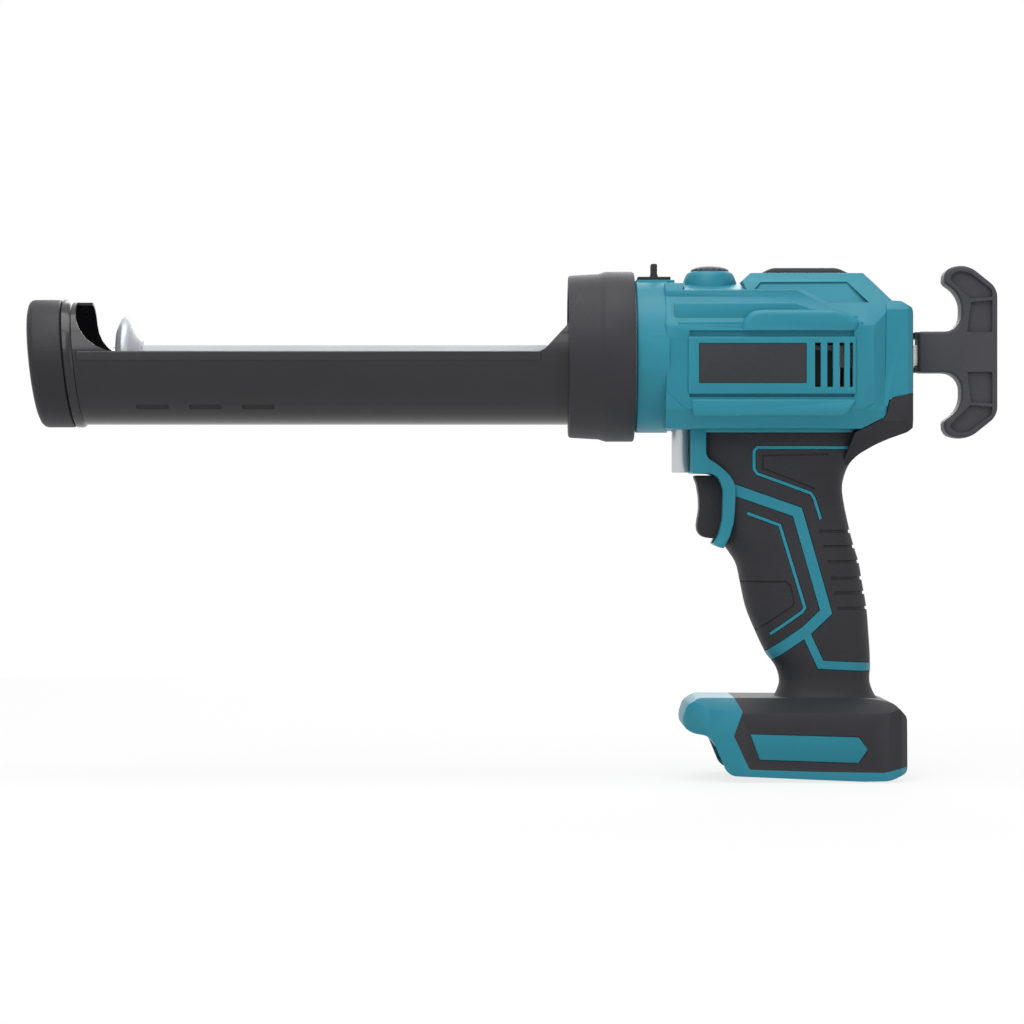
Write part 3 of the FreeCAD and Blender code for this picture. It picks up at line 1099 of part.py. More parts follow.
left_label = box("left_label_solid", ("label_front", "label_front + label_length"),
                 ("-half_width", "label_thickness - half_width"),
                 ("label_top - label_height", "label_top"))
node(left_label, "left_label_plate")
node(mirrored("right_label_solid", left_label), "right_label_plate")
left_inlay = prism("left_inlay_solid", "XZ_Plane", INLAY, "inlay_thickness",
                   lift="foot_half - inlay_thickness")
node(left_inlay, "left_foot_inlay")
node(mirrored("right_inlay_solid", left_inlay), "right_foot_inlay")

# Trim and controls on the outside.
node(prism("top_pad_solid", "XZ_Plane", [
    ("roof_step + 9.5", "roof_high"), ("body_rear - 27.5", "roof_high"),
    ("body_rear - 31", "roof_high + pad_thickness", "2"),
    ("roof_step + 14.5", "roof_high + pad_thickness", "2"),
], "20", both_ways=True), "top_pad")
node(turned("bezel_solid", "XZ_Plane", [
    ("dial_stem + 1", "roof_low"), ("bezel_base", "roof_low"), ("bezel_top + 0.6", "bezel_face - 0.8", "2"),
    ("bezel_top", "bezel_face"), ("dial_stem + 1", "bezel_face"),
], "V_Axis", x="dial_place"), "dial_bezel")
node(turned("speed_dial_solid", "XZ_Plane", [
    ("0", "roof_low - wall - 0.2"), ("dial_stem", "roof_low - wall - 0.2"),
    ("dial_stem", "bezel_face + fit_gap"),
    ("dial_radius", "bezel_face + fit_gap"), ("dial_radius - 0.2", "bezel_face + 0.9"),
    ("dial_radius - 3.2", "bezel_face + dial_height - 0.2", "3"), ("0", "bezel_face + dial_height"),
], "V_Axis", x="dial_place"), "speed_dial")
node(bar("speed_pot_solid", "Z", "dial_radius", "cam_top + 0.7", "roof_low - wall - 0.3",
         ("dial_place", "0")), "speed_pot")
TRIGGER = [
    ("front_block + 1.2", "-block_depth - 1", "1"), ("front_block + 3.9", "-block_depth - 10", "12"),
    ("front_block + 2.6", "7.8 - block_depth - trigger_height", "8"),
    ("front_block + 4.1", "1.5 - block_depth - trigger_height", "3"),
    ("front_block + 9", "-block_depth - trigger_height", "2"),
    ("trigger_rear", "-block_depth - trigger_height"), ("trigger_rear", "-block_depth - 1"),
]
stem_height = "-block_depth - 15"
STEM_Z = (stem_height + " - 3", stem_height + " + 3")
trigger_stem = box("trigger_stem", ("trigger_rear", "switch_front + 1.5"), ("-3", "3"), STEM_Z)
node(fuse("trigger_solid", prism("trigger_blade", "XZ_Plane", TRIGGER, "2 * trigger_half", both_ways=True),
          trigger_stem),
     "trigger")
node(cut("switch_solid", box("switch_block", ("switch_front", "switch_front + switch_length"),
                             ("-switch_half", "switch_half"),
                             ("slot_bottom + 0.6", "-block_depth - 1")),
         box("switch_bore", ("switch_front - 1", "switch_front + 2 + trigger_travel"), ("-3.3", "3.3"),
             (STEM_Z[0] + " - 0.3", STEM_Z[1] + " + 0.3"))), "switch_body")
spring_radius, wire_radius = size("spring_radius"), size("wire_radius")
spring_turns = int(size("spring_turns"))
spring_rise = (size("spring_length") - 2 * wire_radius) / spring_turns
QUARTERS = 4


def on_spring(turns):
    """A point on the spring's middle line and the way that it runs there."""
    angle = 2 * math.pi * turns
    point = FreeCAD.Vector(spring_radius * math.cos(angle), spring_radius * math.sin(angle),
                           spring_rise * turns)
    along = FreeCAD.Vector(-spring_radius * math.sin(angle), spring_radius * math.cos(angle),
                           spring_rise / 2 / math.pi)
    return point, along.normalize()


def arc_in_corner(start, corner, end):
    """The arc that touches both sides of a corner at points equally far from it."""
    side = (start - corner).Length
    half = (start - corner).getAngle(end - corner) / 2
    reach = side / math.cos(half) - side * math.tan(half)
    middle = corner + ((start + end) / 2 - corner).normalize() * reach
    return Part.Arc(start, middle, end).toShape()


spring_edges = []
for quarter in range(spring_turns * QUARTERS):
    start, leave = on_spring(quarter / QUARTERS)
    end, arrive = on_spring((quarter + 1) / QUARTERS)
    span, both = end - start, leave + arrive
    bend = 2 * (1 - leave.dot(arrive))
    side = (math.sqrt(span.dot(both) ** 2 + bend * span.dot(span)) - span.dot(both)) / bend
    first_corner, last_corner = start + leave * side, end - arrive * side
    middle = (first_corner + last_corner) / 2
    spring_edges += [arc_in_corner(start, first_corner, middle), arc_in_corner(middle, last_corner, end)]
spring_start, spring_way = on_spring(0)
spring_wire = Part.Wire(Part.Edge(Part.Circle(spring_start, spring_way, wire_radius)))
spring = Part.Wire(spring_edges).makePipeShell([spring_wire], True, False)
STEPS_IN_TURN = 48
line_points = [on_spring(step / STEPS_IN_TURN)[0] for step in range(spring_turns * STEPS_IN_TURN + 1)]
apart = min((a - b).Length for number, a in enumerate(line_points)
            for b in line_points[number + STEPS_IN_TURN // 2:])
print("trigger spring, least gap between turns %.2f" % (apart - 2 * wire_radius))
node(shaped("spring_solid", spring, FreeCAD.Placement(
    FreeCAD.Vector(size("trigger_rear + wire_radius + run_gap / 2"), 0, size(stem_height)), ALONG_X)),
    "trigger_spring")
node(sleeve("lamp_tube_solid", "Z", "lamp_radius", "lamp_radius - 0.8", "-lamp_bottom",
            "wall - floor_depth - 0.2",
            ("lamp_place", "0")), "lamp_tube")
node(bar("lamp_lens_solid", "Z", "lamp_radius - 0.8 - fit_gap", "0.6 - lamp_bottom", "4 - lamp_bottom",
         ("lamp_place", "0")),
     "lamp_lens")
node(box("board_solid", ("board_front", "board_front + board_length"),
         ("-board_side", "board_thickness - board_side"), ("-board_low", "board_height - board_low")),
         "control_board")
node(box("terminal_solid", ("foot_rear - terminal_rear - terminal_length", "foot_rear - terminal_rear"),
         ("-terminal_half", "terminal_half"), ("wall - seat_level", "wall - seat_level + terminal_height")),
     "terminal_block")
blades = doc.addObject("Part::Compound", "blades_solid")
blades.Links = [box("blade_" + side, BLADE_ENDS,
                    (middle + " - blade_thickness / 2", middle + " + blade_thickness / 2"),
                    ("-rail_level + 1.5", "wall - seat_level"))
                for side, middle in BLADE_SIDES]
node(blades, "terminal_blades")

doc.recompute()
faults = [thing.Label for thing in doc.Objects if "Invalid" in thing.State or "Error" in thing.State]
for thing in NODES:
    if thing.Shape.isNull() or not thing.Shape.isValid() or thing.Shape.Volume <= 0:
        faults.append(thing.Label + " has no sound shape")
if faults:
    raise SystemExit("not built: " + ", ".join(faults))
os.makedirs("parts", exist_ok=True)
for thing in NODES:
    thing.Shape.exportStep(os.path.join("parts", thing.Label + ".step"))
    solids = len(thing.Shape.Solids)
    print("%-24s solids %2d  volume %10.1f" % (thing.Label, solids, thing.Shape.Volume))
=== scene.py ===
import math

import bmesh
import bpy
from mathutils import Matrix, Vector


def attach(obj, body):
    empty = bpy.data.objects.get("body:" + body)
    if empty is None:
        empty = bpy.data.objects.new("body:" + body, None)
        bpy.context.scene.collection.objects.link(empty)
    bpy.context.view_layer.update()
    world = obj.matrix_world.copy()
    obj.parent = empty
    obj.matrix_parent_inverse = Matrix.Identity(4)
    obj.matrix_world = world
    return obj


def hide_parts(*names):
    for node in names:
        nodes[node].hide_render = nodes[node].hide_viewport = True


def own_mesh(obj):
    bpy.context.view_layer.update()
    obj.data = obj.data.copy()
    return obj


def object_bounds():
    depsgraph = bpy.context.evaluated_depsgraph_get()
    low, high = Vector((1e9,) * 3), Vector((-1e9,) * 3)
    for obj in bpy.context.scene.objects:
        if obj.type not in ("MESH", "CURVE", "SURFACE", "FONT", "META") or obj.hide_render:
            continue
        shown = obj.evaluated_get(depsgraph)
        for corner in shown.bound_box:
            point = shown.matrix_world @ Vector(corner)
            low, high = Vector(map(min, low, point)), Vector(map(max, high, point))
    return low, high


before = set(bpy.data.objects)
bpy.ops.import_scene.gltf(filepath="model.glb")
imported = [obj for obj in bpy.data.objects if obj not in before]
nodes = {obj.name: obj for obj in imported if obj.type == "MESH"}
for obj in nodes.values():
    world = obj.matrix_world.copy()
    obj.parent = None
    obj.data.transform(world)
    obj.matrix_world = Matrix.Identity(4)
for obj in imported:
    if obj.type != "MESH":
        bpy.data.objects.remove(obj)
cad_low, cad_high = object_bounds()

# Studio. The tool stands over a plain pale floor in soft light, seen level from its left side, from far off
# with a long lens.
MM = 0.001
scene = bpy.context.scene
scene.view_settings.view_transform = "Standard"

bpy.ops.object.select_all(action="DESELECT")
bpy.ops.object.camera_add(location=(0.2131, -1.67, -0.0667), rotation=(math.radians(90), 0, 0))
camera = bpy.context.object
camera.data.sensor_width = 36
camera.data.lens = 130.5
scene.camera = camera

FLOOR_SIZE = 3.2
bpy.ops.mesh.primitive_plane_add(size=FLOOR_SIZE, location=(0.2, -0.6, cad_low.z - 0.0005))
floor = bpy.context.object
floor.name = "floor"


def seen_directly(tree):
    """One where a ray comes from the camera, from a gloss or through glass, and nought elsewhere."""
    path = tree.nodes.new("ShaderNodeLightPath")
    total = path.outputs["Is Camera Ray"]
    for name in ("Is Glossy Ray", "Is Transmission Ray"):
        add = tree.nodes.new("ShaderNodeMath")
        add.operation = "MAXIMUM"
        tree.links.new(total, add.inputs[0])
        tree.links.new(path.outputs[name], add.inputs[1])
        total = add.outputs[0]
    return total


floor_paper = bpy.data.materials.new("floor_paper")
floor_paper.use_nodes = True
tree = floor_paper.node_tree
paper = tree.nodes["Principled BSDF"]
paper.inputs["Base Color"].default_value = (0.82, 0.82, 0.82, 1)
paper.inputs["Roughness"].default_value = 0.9
glow = tree.nodes.new("ShaderNodeEmission")
glow.inputs["Strength"].default_value = 1.0
share = tree.nodes.new("ShaderNodeMath")
share.operation = "MULTIPLY"
share.inputs[1].default_value = 0.8
tree.links.new(seen_directly(tree), share.inputs[0])
blend = tree.nodes.new("ShaderNodeMixShader")
tree.links.new(share.outputs[0], blend.inputs["Fac"])
tree.links.new(paper.outputs["BSDF"], blend.inputs[1])
tree.links.new(glow.outputs["Emission"], blend.inputs[2])
tree.links.new(blend.outputs["Shader"], tree.nodes["Material Output"].inputs["Surface"])
floor.data.materials.append(floor_paper)

world = bpy.data.worlds.new("studio")
scene.world = world
world.use_nodes = True
tree = world.node_tree
soft_sky = tree.nodes["Background"]
soft_sky.inputs["Color"].default_value = (1, 1, 1, 1)
soft_sky.inputs["Strength"].default_value = 0.3
white_wall = tree.nodes.new("ShaderNodeBackground")
white_wall.inputs["Strength"].default_value = 1.0
white_wall.inputs["Color"].default_value = (1, 1, 1, 1)
blend = tree.nodes.new("ShaderNodeMixShader")
tree.links.new(seen_directly(tree), blend.inputs["Fac"])
tree.links.new(soft_sky.outputs["Background"], blend.inputs[1])
tree.links.new(white_wall.outputs["Background"], blend.inputs[2])
tree.links.new(blend.outputs["Shader"], tree.nodes["World Output"].inputs["Surface"])

# Lamps: name, place, what it points at, its side in metres and its power.
TOOL_MIDDLE = Vector((0.22, 0, -0.05))
LAMPS = [
    ("key_lamp", (-0.25, -1.35, 1.25), 1.1, 13),
    ("fill_lamp", (1.15, -1.2, 0.35), 1.0, 2.5),
    ("top_lamp", (0.2, -0.25, 1.6), 1.2, 18),
    ("back_lamp", (0.4, 1.5, 0.7), 1.0, 10),
]
for name, place, side, power in LAMPS:
    bpy.ops.object.light_add(type="AREA", location=place)
    lamp = bpy.context.object
    lamp.name = name
    lamp.data.size = side
    lamp.data.energy = power
    lamp.rotation_euler = (TOOL_MIDDLE - Vector(place)).to_track_quat("-Z", "Y").to_euler()

# Front cap. A moulded black plastic cup that presses over the holder's leaning front end and leaves a round hole
# for the cartridge's nozzle. Its surface is finely textured, and its edges are rounded.
DRIVE_AXIS = 3.1
RAKE = math.tan(math.radians(5.9))


def linear(*rgb):
    """A colour as a screen shows it, 0 to 255, in the shader's own scale."""
    parts = [value / 255 for value in rgb]
    return tuple(p / 12.92 if p < 0.04045 else ((p + 0.055) / 1.055) ** 2.4 for p in parts) + (1.0,)


def finish(name, rgb, rough, grain, bump, metal=0.0, spread=0.12, stretch=(1, 1, 1), coat=0.0, clouds=60):
    """A surface whose colour and gloss vary in soft clouds, with a fine grain that catches the light, and a painted
    highlight of paler colour along its sharp outer edges.
    """
    material = bpy.data.materials.new(name)
    material.use_nodes = True
    tree = material.node_tree
    shader = tree.nodes["Principled BSDF"]
    shader.inputs["Metallic"].default_value = metal
    shader.inputs["Coat Weight"].default_value = coat
    shader.inputs["Specular IOR Level"].default_value = 0.25
    place = tree.nodes.new("ShaderNodeTexCoord")
    turn = tree.nodes.new("ShaderNodeMapping")
    turn.inputs["Scale"].default_value = stretch
    tree.links.new(place.outputs["Object"], turn.inputs["Vector"])
    cloud = tree.nodes.new("ShaderNodeTexNoise")
    cloud.inputs["Scale"].default_value = clouds
    cloud.inputs["Detail"].default_value = 4
    fine = tree.nodes.new("ShaderNodeTexNoise")
    fine.inputs["Scale"].default_value = grain
    fine.inputs["Detail"].default_value = 2
    tree.links.new(place.outputs["Object"], cloud.inputs["Vector"])
    tree.links.new(turn.outputs["Vector"], fine.inputs["Vector"])
    edge = tree.nodes.new("ShaderNodeNewGeometry")
    # Painted highlight: the colour turns paler along sharp outer edges, found from pointiness, as if they caught the
    # light.
    edge_highlight = tree.nodes.new("ShaderNodeMapRange")
    edge_highlight.inputs["From Min"].default_value = 0.52
    edge_highlight.inputs["From Max"].default_value = 0.68
    edge_highlight.inputs["To Max"].default_value = 0.35
    tree.links.new(edge.outputs["Pointiness"], edge_highlight.inputs["Value"])
    colour = linear(*rgb)
    dark = tuple(c * (1 - spread) for c in colour[:3]) + (1.0,)
    light = tuple(min(1.0, c * (1 + spread)) for c in colour[:3]) + (1.0,)
    # The painted highlight's colour for sharp outer edges.
    pale = tuple(min(1.0, c * 1.5 + 0.02) for c in colour[:3]) + (1.0,)
    tone = tree.nodes.new("ShaderNodeMix")
    tone.data_type = "RGBA"
    tone.inputs["A"].default_value = dark
    tone.inputs["B"].default_value = light
    tree.links.new(cloud.outputs["Fac"], tone.inputs["Factor"])
    rim = tree.nodes.new("ShaderNodeMix")
    rim.data_type = "RGBA"
    rim.inputs["B"].default_value = pale
    tree.links.new(edge_highlight.outputs["Result"], rim.inputs["Factor"])
    tree.links.new(tone.outputs["Result"], rim.inputs["A"])
    tree.links.new(rim.outputs["Result"], shader.inputs["Base Color"])
    gloss = tree.nodes.new("ShaderNodeMapRange")
    gloss.inputs["To Min"].default_value = max(0.02, rough - 0.08)
    gloss.inputs["To Max"].default_value = min(1.0, rough + 0.08)
    tree.links.new(fine.outputs["Fac"], gloss.inputs["Value"])
    tree.links.new(gloss.outputs["Result"], shader.inputs["Roughness"])
    relief = tree.nodes.new("ShaderNodeBump")
    relief.inputs["Strength"].default_value = bump
    relief.inputs["Distance"].default_value = 0.0003
    tree.links.new(fine.outputs["Fac"], relief.inputs["Height"])
    tree.links.new(relief.outputs["Normal"], shader.inputs["Normal"])
    return material


def apply_all(piece):
    """Applies a piece's modifiers in order."""
    bpy.ops.object.select_all(action="DESELECT")
    piece.select_set(True)
    bpy.context.view_layer.objects.active = piece
    for modifier in list(piece.modifiers):
        bpy.ops.object.modifier_apply(modifier=modifier.name)


def soften(piece, width, segments=3, angle=32):
    """Rounds a piece's sharp edges."""
    bevel = piece.modifiers.new("soft_edges", "BEVEL")
    bevel.width = width * MM
    bevel.segments = segments
    bevel.limit_method = "ANGLE"
    bevel.angle_limit = math.radians(angle)
    bevel.use_clamp_overlap = True
    apply_all(piece)
    return piece


def edit_all(piece):
    """Opens a piece for editing with everything on it selected."""
    bpy.ops.object.select_all(action="DESELECT")
    piece.select_set(True)
    bpy.context.view_layer.objects.active = piece
    bpy.ops.object.mode_set(mode="EDIT")
    bpy.ops.mesh.select_all(action="SELECT")


def close_edit(merge=0.000001):
    """Merges doubles, turns faces outwards and leaves edit mode."""
    bpy.ops.mesh.select_all(action="SELECT")
    bpy.ops.mesh.remove_doubles(threshold=merge)
    bpy.ops.mesh.normals_make_consistent(inside=False)
    bpy.ops.object.mode_set(mode="OBJECT")


def lathe(name, profile, centre, axis="X", steps=96):
    """Spins a closed profile of (along, radius) points in millimetres about an axis through a point."""
    bpy.ops.object.select_all(action="DESELECT")
    bpy.ops.mesh.primitive_circle_add(vertices=len(profile), radius=0.01, fill_type="NOTHING")
    piece = bpy.context.object
    piece.name = name
    cx, cy, cz = centre
    for vertex, (along, radius) in zip(piece.data.vertices, profile):
        if axis == "X":
            vertex.co = Vector((cx + along, cy, cz + radius)) * MM
        else:
            vertex.co = Vector((cx + radius, cy, cz + along)) * MM
    edit_all(piece)
    direction = {"X": (1, 0, 0), "Z": (0, 0, 1)}[axis]
    bpy.ops.mesh.spin(steps=steps, angle=2 * math.pi, center=Vector(centre) * MM, axis=direction)
    bpy.ops.mesh.select_all(action="SELECT")
    bpy.ops.mesh.remove_doubles(threshold=0.000002)
    bpy.ops.mesh.dissolve_degenerate(threshold=0.000002)
    bpy.ops.mesh.delete_loose()
    close_edit()
    return piece


def lean_front(piece, until):
    """Leans whatever lies ahead of a point along the tool, as the holder's front end leans."""
    for vertex in piece.data.vertices:
        if vertex.co.x < until * MM:
            vertex.co.x -= vertex.co.z * RAKE


def dress(piece, material, body, slot, *replaced):
    """Gives a finished piece its surface, smooth shading and the body that it moves with."""
    piece.data.materials.clear()
    piece.data.materials.append(material)
    bpy.ops.object.select_all(action="DESELECT")
    piece.select_set(True)
    bpy.context.view_layer.objects.active = piece
    bpy.ops.object.shade_smooth_by_angle(angle=math.radians(34))
    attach(piece, body)
    if replaced:
        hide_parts(*replaced)
    return piece


cap_black = finish("cap_black", (40, 40, 44), 0.5, 1900, 0.25)
CAP_RADIUS = 28.65
cap = lathe("front_cap_shell", [
    (1.4, 11), (-1.6, 11), (-2.0, 11.5), (-1.9, 16), (-1.6, 21.5), (-1.2, 25.2), (-0.5, 27.2), (0.6, 28.3),
    (2.0, CAP_RADIUS),
    (12.9, CAP_RADIUS), (13.6, 28.5), (14, 28.1), (14, 26.3), (1.4, 26.3),
], (0, 0, 0), steps=128)
lean_front(cap, 20)
dress(cap, cap_black, "tool_body", "cap_plastic", "front_cap")

# Cartridge holder. A trough rolled from thin steel sheet and painted gloss black, with a bead pressed behind the
# cap, a folded lip along each upper edge and three drain slots low on its side.
HOLDER_RADIUS = 27.5
SHEET = 1.2
HOLDER_END = 241.6
EDGE_HEIGHT = 4.3


def slab(name, corners, near, far, soft=0.0, segments=3):
    """A plate cut to a side outline, from one value across the tool to another. A corner is (x, z) or, where it is
    round, (x, z, how far back along its edges the rounding starts)."""
    bpy.ops.object.select_all(action="DESELECT")
    bpy.ops.mesh.primitive_circle_add(vertices=len(corners), radius=0.01, fill_type="NGON")
    piece = bpy.context.object
    piece.name = name
    for vertex, corner in zip(piece.data.vertices, corners):
        vertex.co = Vector((corner[0], near, corner[1])) * MM
    edit_all(piece)
    for reach in sorted({corner[2] for corner in corners if len(corner) == 3}):
        points = [Vector((c[0], near, c[1])) * MM for c in corners if len(c) == 3 and c[2] == reach]
        bpy.ops.mesh.select_all(action="DESELECT")
        bpy.ops.mesh.select_mode(type="VERT")
        shape = bmesh.from_edit_mesh(piece.data)
        for vertex in shape.verts:
            vertex.select = any((vertex.co - point).length < 1e-6 for point in points)
        shape.select_flush_mode()
        bmesh.update_edit_mesh(piece.data)
        bpy.ops.mesh.bevel(offset=reach * MM, segments=6, affect="VERTICES", clamp_overlap=True)
    bpy.ops.mesh.select_all(action="SELECT")
    bpy.ops.mesh.extrude_region_move(TRANSFORM_OT_translate={"value": (0, (far - near) * MM, 0)})
    close_edit()
    if soft:
        soften(piece, soft, segments)
    return piece


def combine(piece, tool, how="DIFFERENCE"):
    """Cuts a tool from a piece, joins it on or keeps what they share, and removes the tool."""
    change = piece.modifiers.new("combine", "BOOLEAN")
    change.operation = how
    change.object = tool
    change.solver = "EXACT"
    apply_all(piece)
    bpy.data.objects.remove(tool)
    return piece


def join(pieces):
    """Makes one object of several."""
    bpy.ops.object.select_all(action="DESELECT")
    for piece in pieces:
        piece.select_set(True)
    bpy.context.view_layer.objects.active = pieces[0]
    bpy.ops.object.join()
    return pieces[0]


holder_black = finish("holder_black", (38, 37, 40), 0.22, 700, 0.02, coat=0.15)
INNER = HOLDER_RADIUS - SHEET
holder = lathe("holder_sheet", [
    (3.7, 14), (2.45, 14), (2.45, 25.3), (3.2, 26.0), (14.3, 26.0), (14.3, 28.0), (14.9, 28.7), (17.6, 28.7),
    (18.6, 28.2), (18.9, HOLDER_RADIUS), (HOLDER_END, HOLDER_RADIUS), (HOLDER_END, INNER), (17.9, INNER),
    (15.5, 24.8), (3.7, 24.8),
], (0, 0, 0), steps=160)
lean_front(holder, 30)
MOUTH_REAR = 239
# Each side of the mouth: where it starts along the tool, how round its front corner is, and across the tool.
for mouth_front, front_round, across in ((18.2, 20.5, -50), (24.5, 14, 50)):
    combine(holder, slab("mouth", [
        (mouth_front, EDGE_HEIGHT, front_round), (226.5, EDGE_HEIGHT, 3), (MOUTH_REAR, 18, 3), (MOUTH_REAR, 60),
        (mouth_front, 60),
    ], across, 0))
SLOT_STARTS = [46 + 23.5 * number for number in range(3)]
for start in SLOT_STARTS:
    slot_tool = slab("slot", [(start, -19.0, 0.8), (start + 14.5, -19.0, 0.8), (start + 14.5, -21.0, 0.8),
                              (start, -21.0, 0.8)], -40, -8)
    combine(holder, slot_tool)
    tongue = slab("tongue", [(start - 0.5, -16.9), (start + 15, -16.9), (start + 15, -21.4), (start - 0.5, -21.4)], -17.0, -16.4)
    combine(holder, tongue, "UNION")
dress(holder, holder_black, "tool_body", "holder_paint", "cartridge_holder", "holder_front_ring")
for side, name in ((-1, "left"), (1, "right")):
    outer = side * (math.sqrt(HOLDER_RADIUS ** 2 - EDGE_HEIGHT ** 2) + 0.7)
    inner = outer - side * 2.3
    lip = slab(name + "_holder_lip", [(20, 4.6), (226, 4.6), (226, 0.4), (20, 0.4)], outer, inner, 0.6)
    dress(lip, holder_black, "tool_body", "holder_paint")

# Lock ring. A thick black plastic nut that turns to clamp the holder against the tool. Its front half is lower and
# widens towards a step, which gives the fingers a hold.
ring_black = finish("ring_black", (48, 48, 52), 0.55, 1500, 0.3)
RING_FRONT = 238.3
RING_REAR = 267.8
ring = lathe("lock_ring_nut", [
    (RING_FRONT, 31.6), (RING_FRONT, 35.4), (RING_FRONT + 0.4, 36.2), (RING_FRONT + 1.2, 36.5), (252.0, 37.2),
    (252.6, 37.4), (254.4, 38.0), (255.2, 38.2), (RING_REAR - 1, 38.2), (RING_REAR - 0.3, 37.9), (RING_REAR, 37.2),
    (RING_REAR, 33.7), (RING_FRONT + 3, 33.7), (RING_FRONT + 3, 31.6),
], (0, 0, DRIVE_AXIS), steps=128)
dress(ring, ring_black, "lock_ring", "ring_plastic", "lock_ring")

# Push rod and plunger. A square zinc-plated bar with rack teeth cut in its underside, carrying a pressed steel
# plunger on a screw at its front end.
zinc = finish("zinc", (172, 178, 184), 0.36, 420, 0.18, metal=0.85, stretch=(0.12, 1, 1), spread=0.2, clouds=35)
# The push rod's zinc is painted near white, a lit copy of the zinc above: a painted highlight in place of its own grey
# plating.
highlit_rod_zinc = finish("highlit_rod_zinc", (238, 241, 243), 0.42, 420, 0.12, metal=0.4, spread=0.12, clouds=45)
plate_zinc = finish("plate_zinc", (184, 188, 194), 0.36, 600, 0.08, metal=0.3, spread=0.06)


def paint_node(name, material, angle=34):
    """Gives a piece of the fixed frame its surface."""
    piece = nodes[name]
    piece.data.materials.clear()
    piece.data.materials.append(material)
    return piece


# The rack rod gets the near-white zinc with its painted highlight.
paint_node("rack_rod", highlit_rod_zinc)
plunger = lathe("plunger_cup", [
    (35.8, 2.6), (35.8, 12.5), (36.2, 13.6), (38.2, 17.2), (38.9, 17.9), (40.2, 18.1), (41.4, 17.8), (42.2, 17.0),
    (44, 12.2), (44.9, 10.2), (46.2, 8.2), (47.05, 7.4), (47.05, 2.6),
], (0, 0, DRIVE_AXIS), steps=96)
dress(plunger, plate_zinc, "push_rod", "zinc_steel", "plunger")
paint_node("plunger_screw", zinc)

# Pull handle. A moulded T of grey-black plastic, pinned across the rod's rear end. Both faces have pockets with a
# stiffening rib, so that the wall stays even.
handle_grey = finish("handle_grey", (66, 66, 70), 0.48, 1300, 0.25)
HANDLE_MIDDLE = 5.0
HANDLE_HALF = 8.0
upper_arm = [
    (395.0, 9.2), (414.4, 9.2, 7.6), (414.4, 25.4, 5.6), (406.5, 31.0, 1.6), (406.9, 36.6, 2.6), (412.4, 38.9, 3),
    (418.6, 38.2, 3), (430.6, 28.6, 3.6),
]


def both_arms(upper):
    """Repeats an upper outline below the handle's middle."""
    above = [(c[0], HANDLE_MIDDLE + c[1]) + tuple(c[2:]) for c in upper]
    below = [(c[0], HANDLE_MIDDLE - c[1]) + tuple(c[2:]) for c in reversed(upper)]
    return above + below


handle = slab("pull_handle_tee", both_arms(upper_arm), -HANDLE_HALF, HANDLE_HALF, 1.4, 4)
POCKETS = [
    [(416.9, 8.9, 0.8), (428.2, 8.9, 0.8), (428.2, 23.2), (418.6, 22.4)],
    [(418.2, 23.8), (428.2, 24.6), (428.2, 27.9, 1.5), (417.8, 35.8, 2), (412.6, 36.4, 1.6), (409.6, 34.2), (409.6, 32.2)],
]
POCKET_DEPTH = 2.2
for outline in POCKETS:
    for sign in (1, -1):
        for side in (-1, 1):
            corners = [(c[0], HANDLE_MIDDLE + sign * c[1]) + tuple(c[2:]) for c in outline]
            combine(handle, slab("pocket", corners, side * (HANDLE_HALF - POCKET_DEPTH), side * 20))
socket_hole = slab("rod_socket", [(390, 8.15), (404.05, 8.15), (404.05, -1.95), (390, -1.95)], -4.55, 4.55)
combine(handle, socket_hole)
for sign in (1, -1):
    tab = slab("tab", [(393.6, HANDLE_MIDDLE + sign * 9.0), (396.5, HANDLE_MIDDLE + sign * 9.0),
                       (396.5, HANDLE_MIDDLE + sign * 5.5), (393.6, HANDLE_MIDDLE + sign * 6.2)], -6, 6, 0.4)
    combine(handle, tab, "UNION")
dress(handle, handle_grey, "push_rod", "handle_plastic", "pull_handle")
handle_pin = lathe("handle_pin_round", [(-7.85, 0.0), (-7.85, 1.6), (-7.45, 2.0), (7.45, 2.0), (7.85, 1.6), (7.85, 0.0)],
                   (0, 0, 0), "Z", 32)
handle_pin.data.transform(Matrix.Translation(Vector((399.5, 0, DRIVE_AXIS)) * MM)
                          @ Matrix.Rotation(math.radians(90), 4, "X"))
dress(handle_pin, zinc, "push_rod", "zinc_steel", "handle_pin")

# Housing. Two moulded teal shells that meet along the middle of the tool. Each side steps outwards in ledges to a
# raised panel with the label's recess and the cooling slots, between two long swellings.
teal = finish("teal", (40, 130, 149), 0.42, 1700, 0.12, spread=0.05)
SEAM = 0.05
HOUSING_REAR = 392.9
VALLEY = ((373.4, -33.0, 0), (3.5, -4.6, 0))
REAR_CORNER = (1, -1, 0)
REAR_FACE = ((390.4, -28.0, 0), (21, -2.5, 0))
CORE_HALF = 33.0
ROOF_FALL = 0.063
CREASE = (19.0, 36.0)
SLOPE = (CORE_HALF - CREASE[0]) / (CREASE[1] - 16.0)


def slice_off(piece, point, normal):
    """Cuts a piece along a plane, keeps what lies behind it and closes the cut."""
    edit_all(piece)
    bpy.ops.mesh.bisect(plane_co=Vector(point) * MM, plane_no=Vector(normal).normalized(), use_fill=True,
                        clear_outer=True, threshold=0.0000001)
    close_edit()
    return piece


def mirror_copy(piece, name):
    """The same piece on the tool's other side."""
    bpy.ops.object.select_all(action="DESELECT")
    piece.select_set(True)
    bpy.context.view_layer.objects.active = piece
    bpy.ops.object.duplicate()
    twin = bpy.context.object
    twin.name = name
    twin.data.transform(Matrix.Scale(-1, 4, (0, 1, 0)))
    edit_all(twin)
    bpy.ops.mesh.flip_normals()
    bpy.ops.object.mode_set(mode="OBJECT")
    return twin


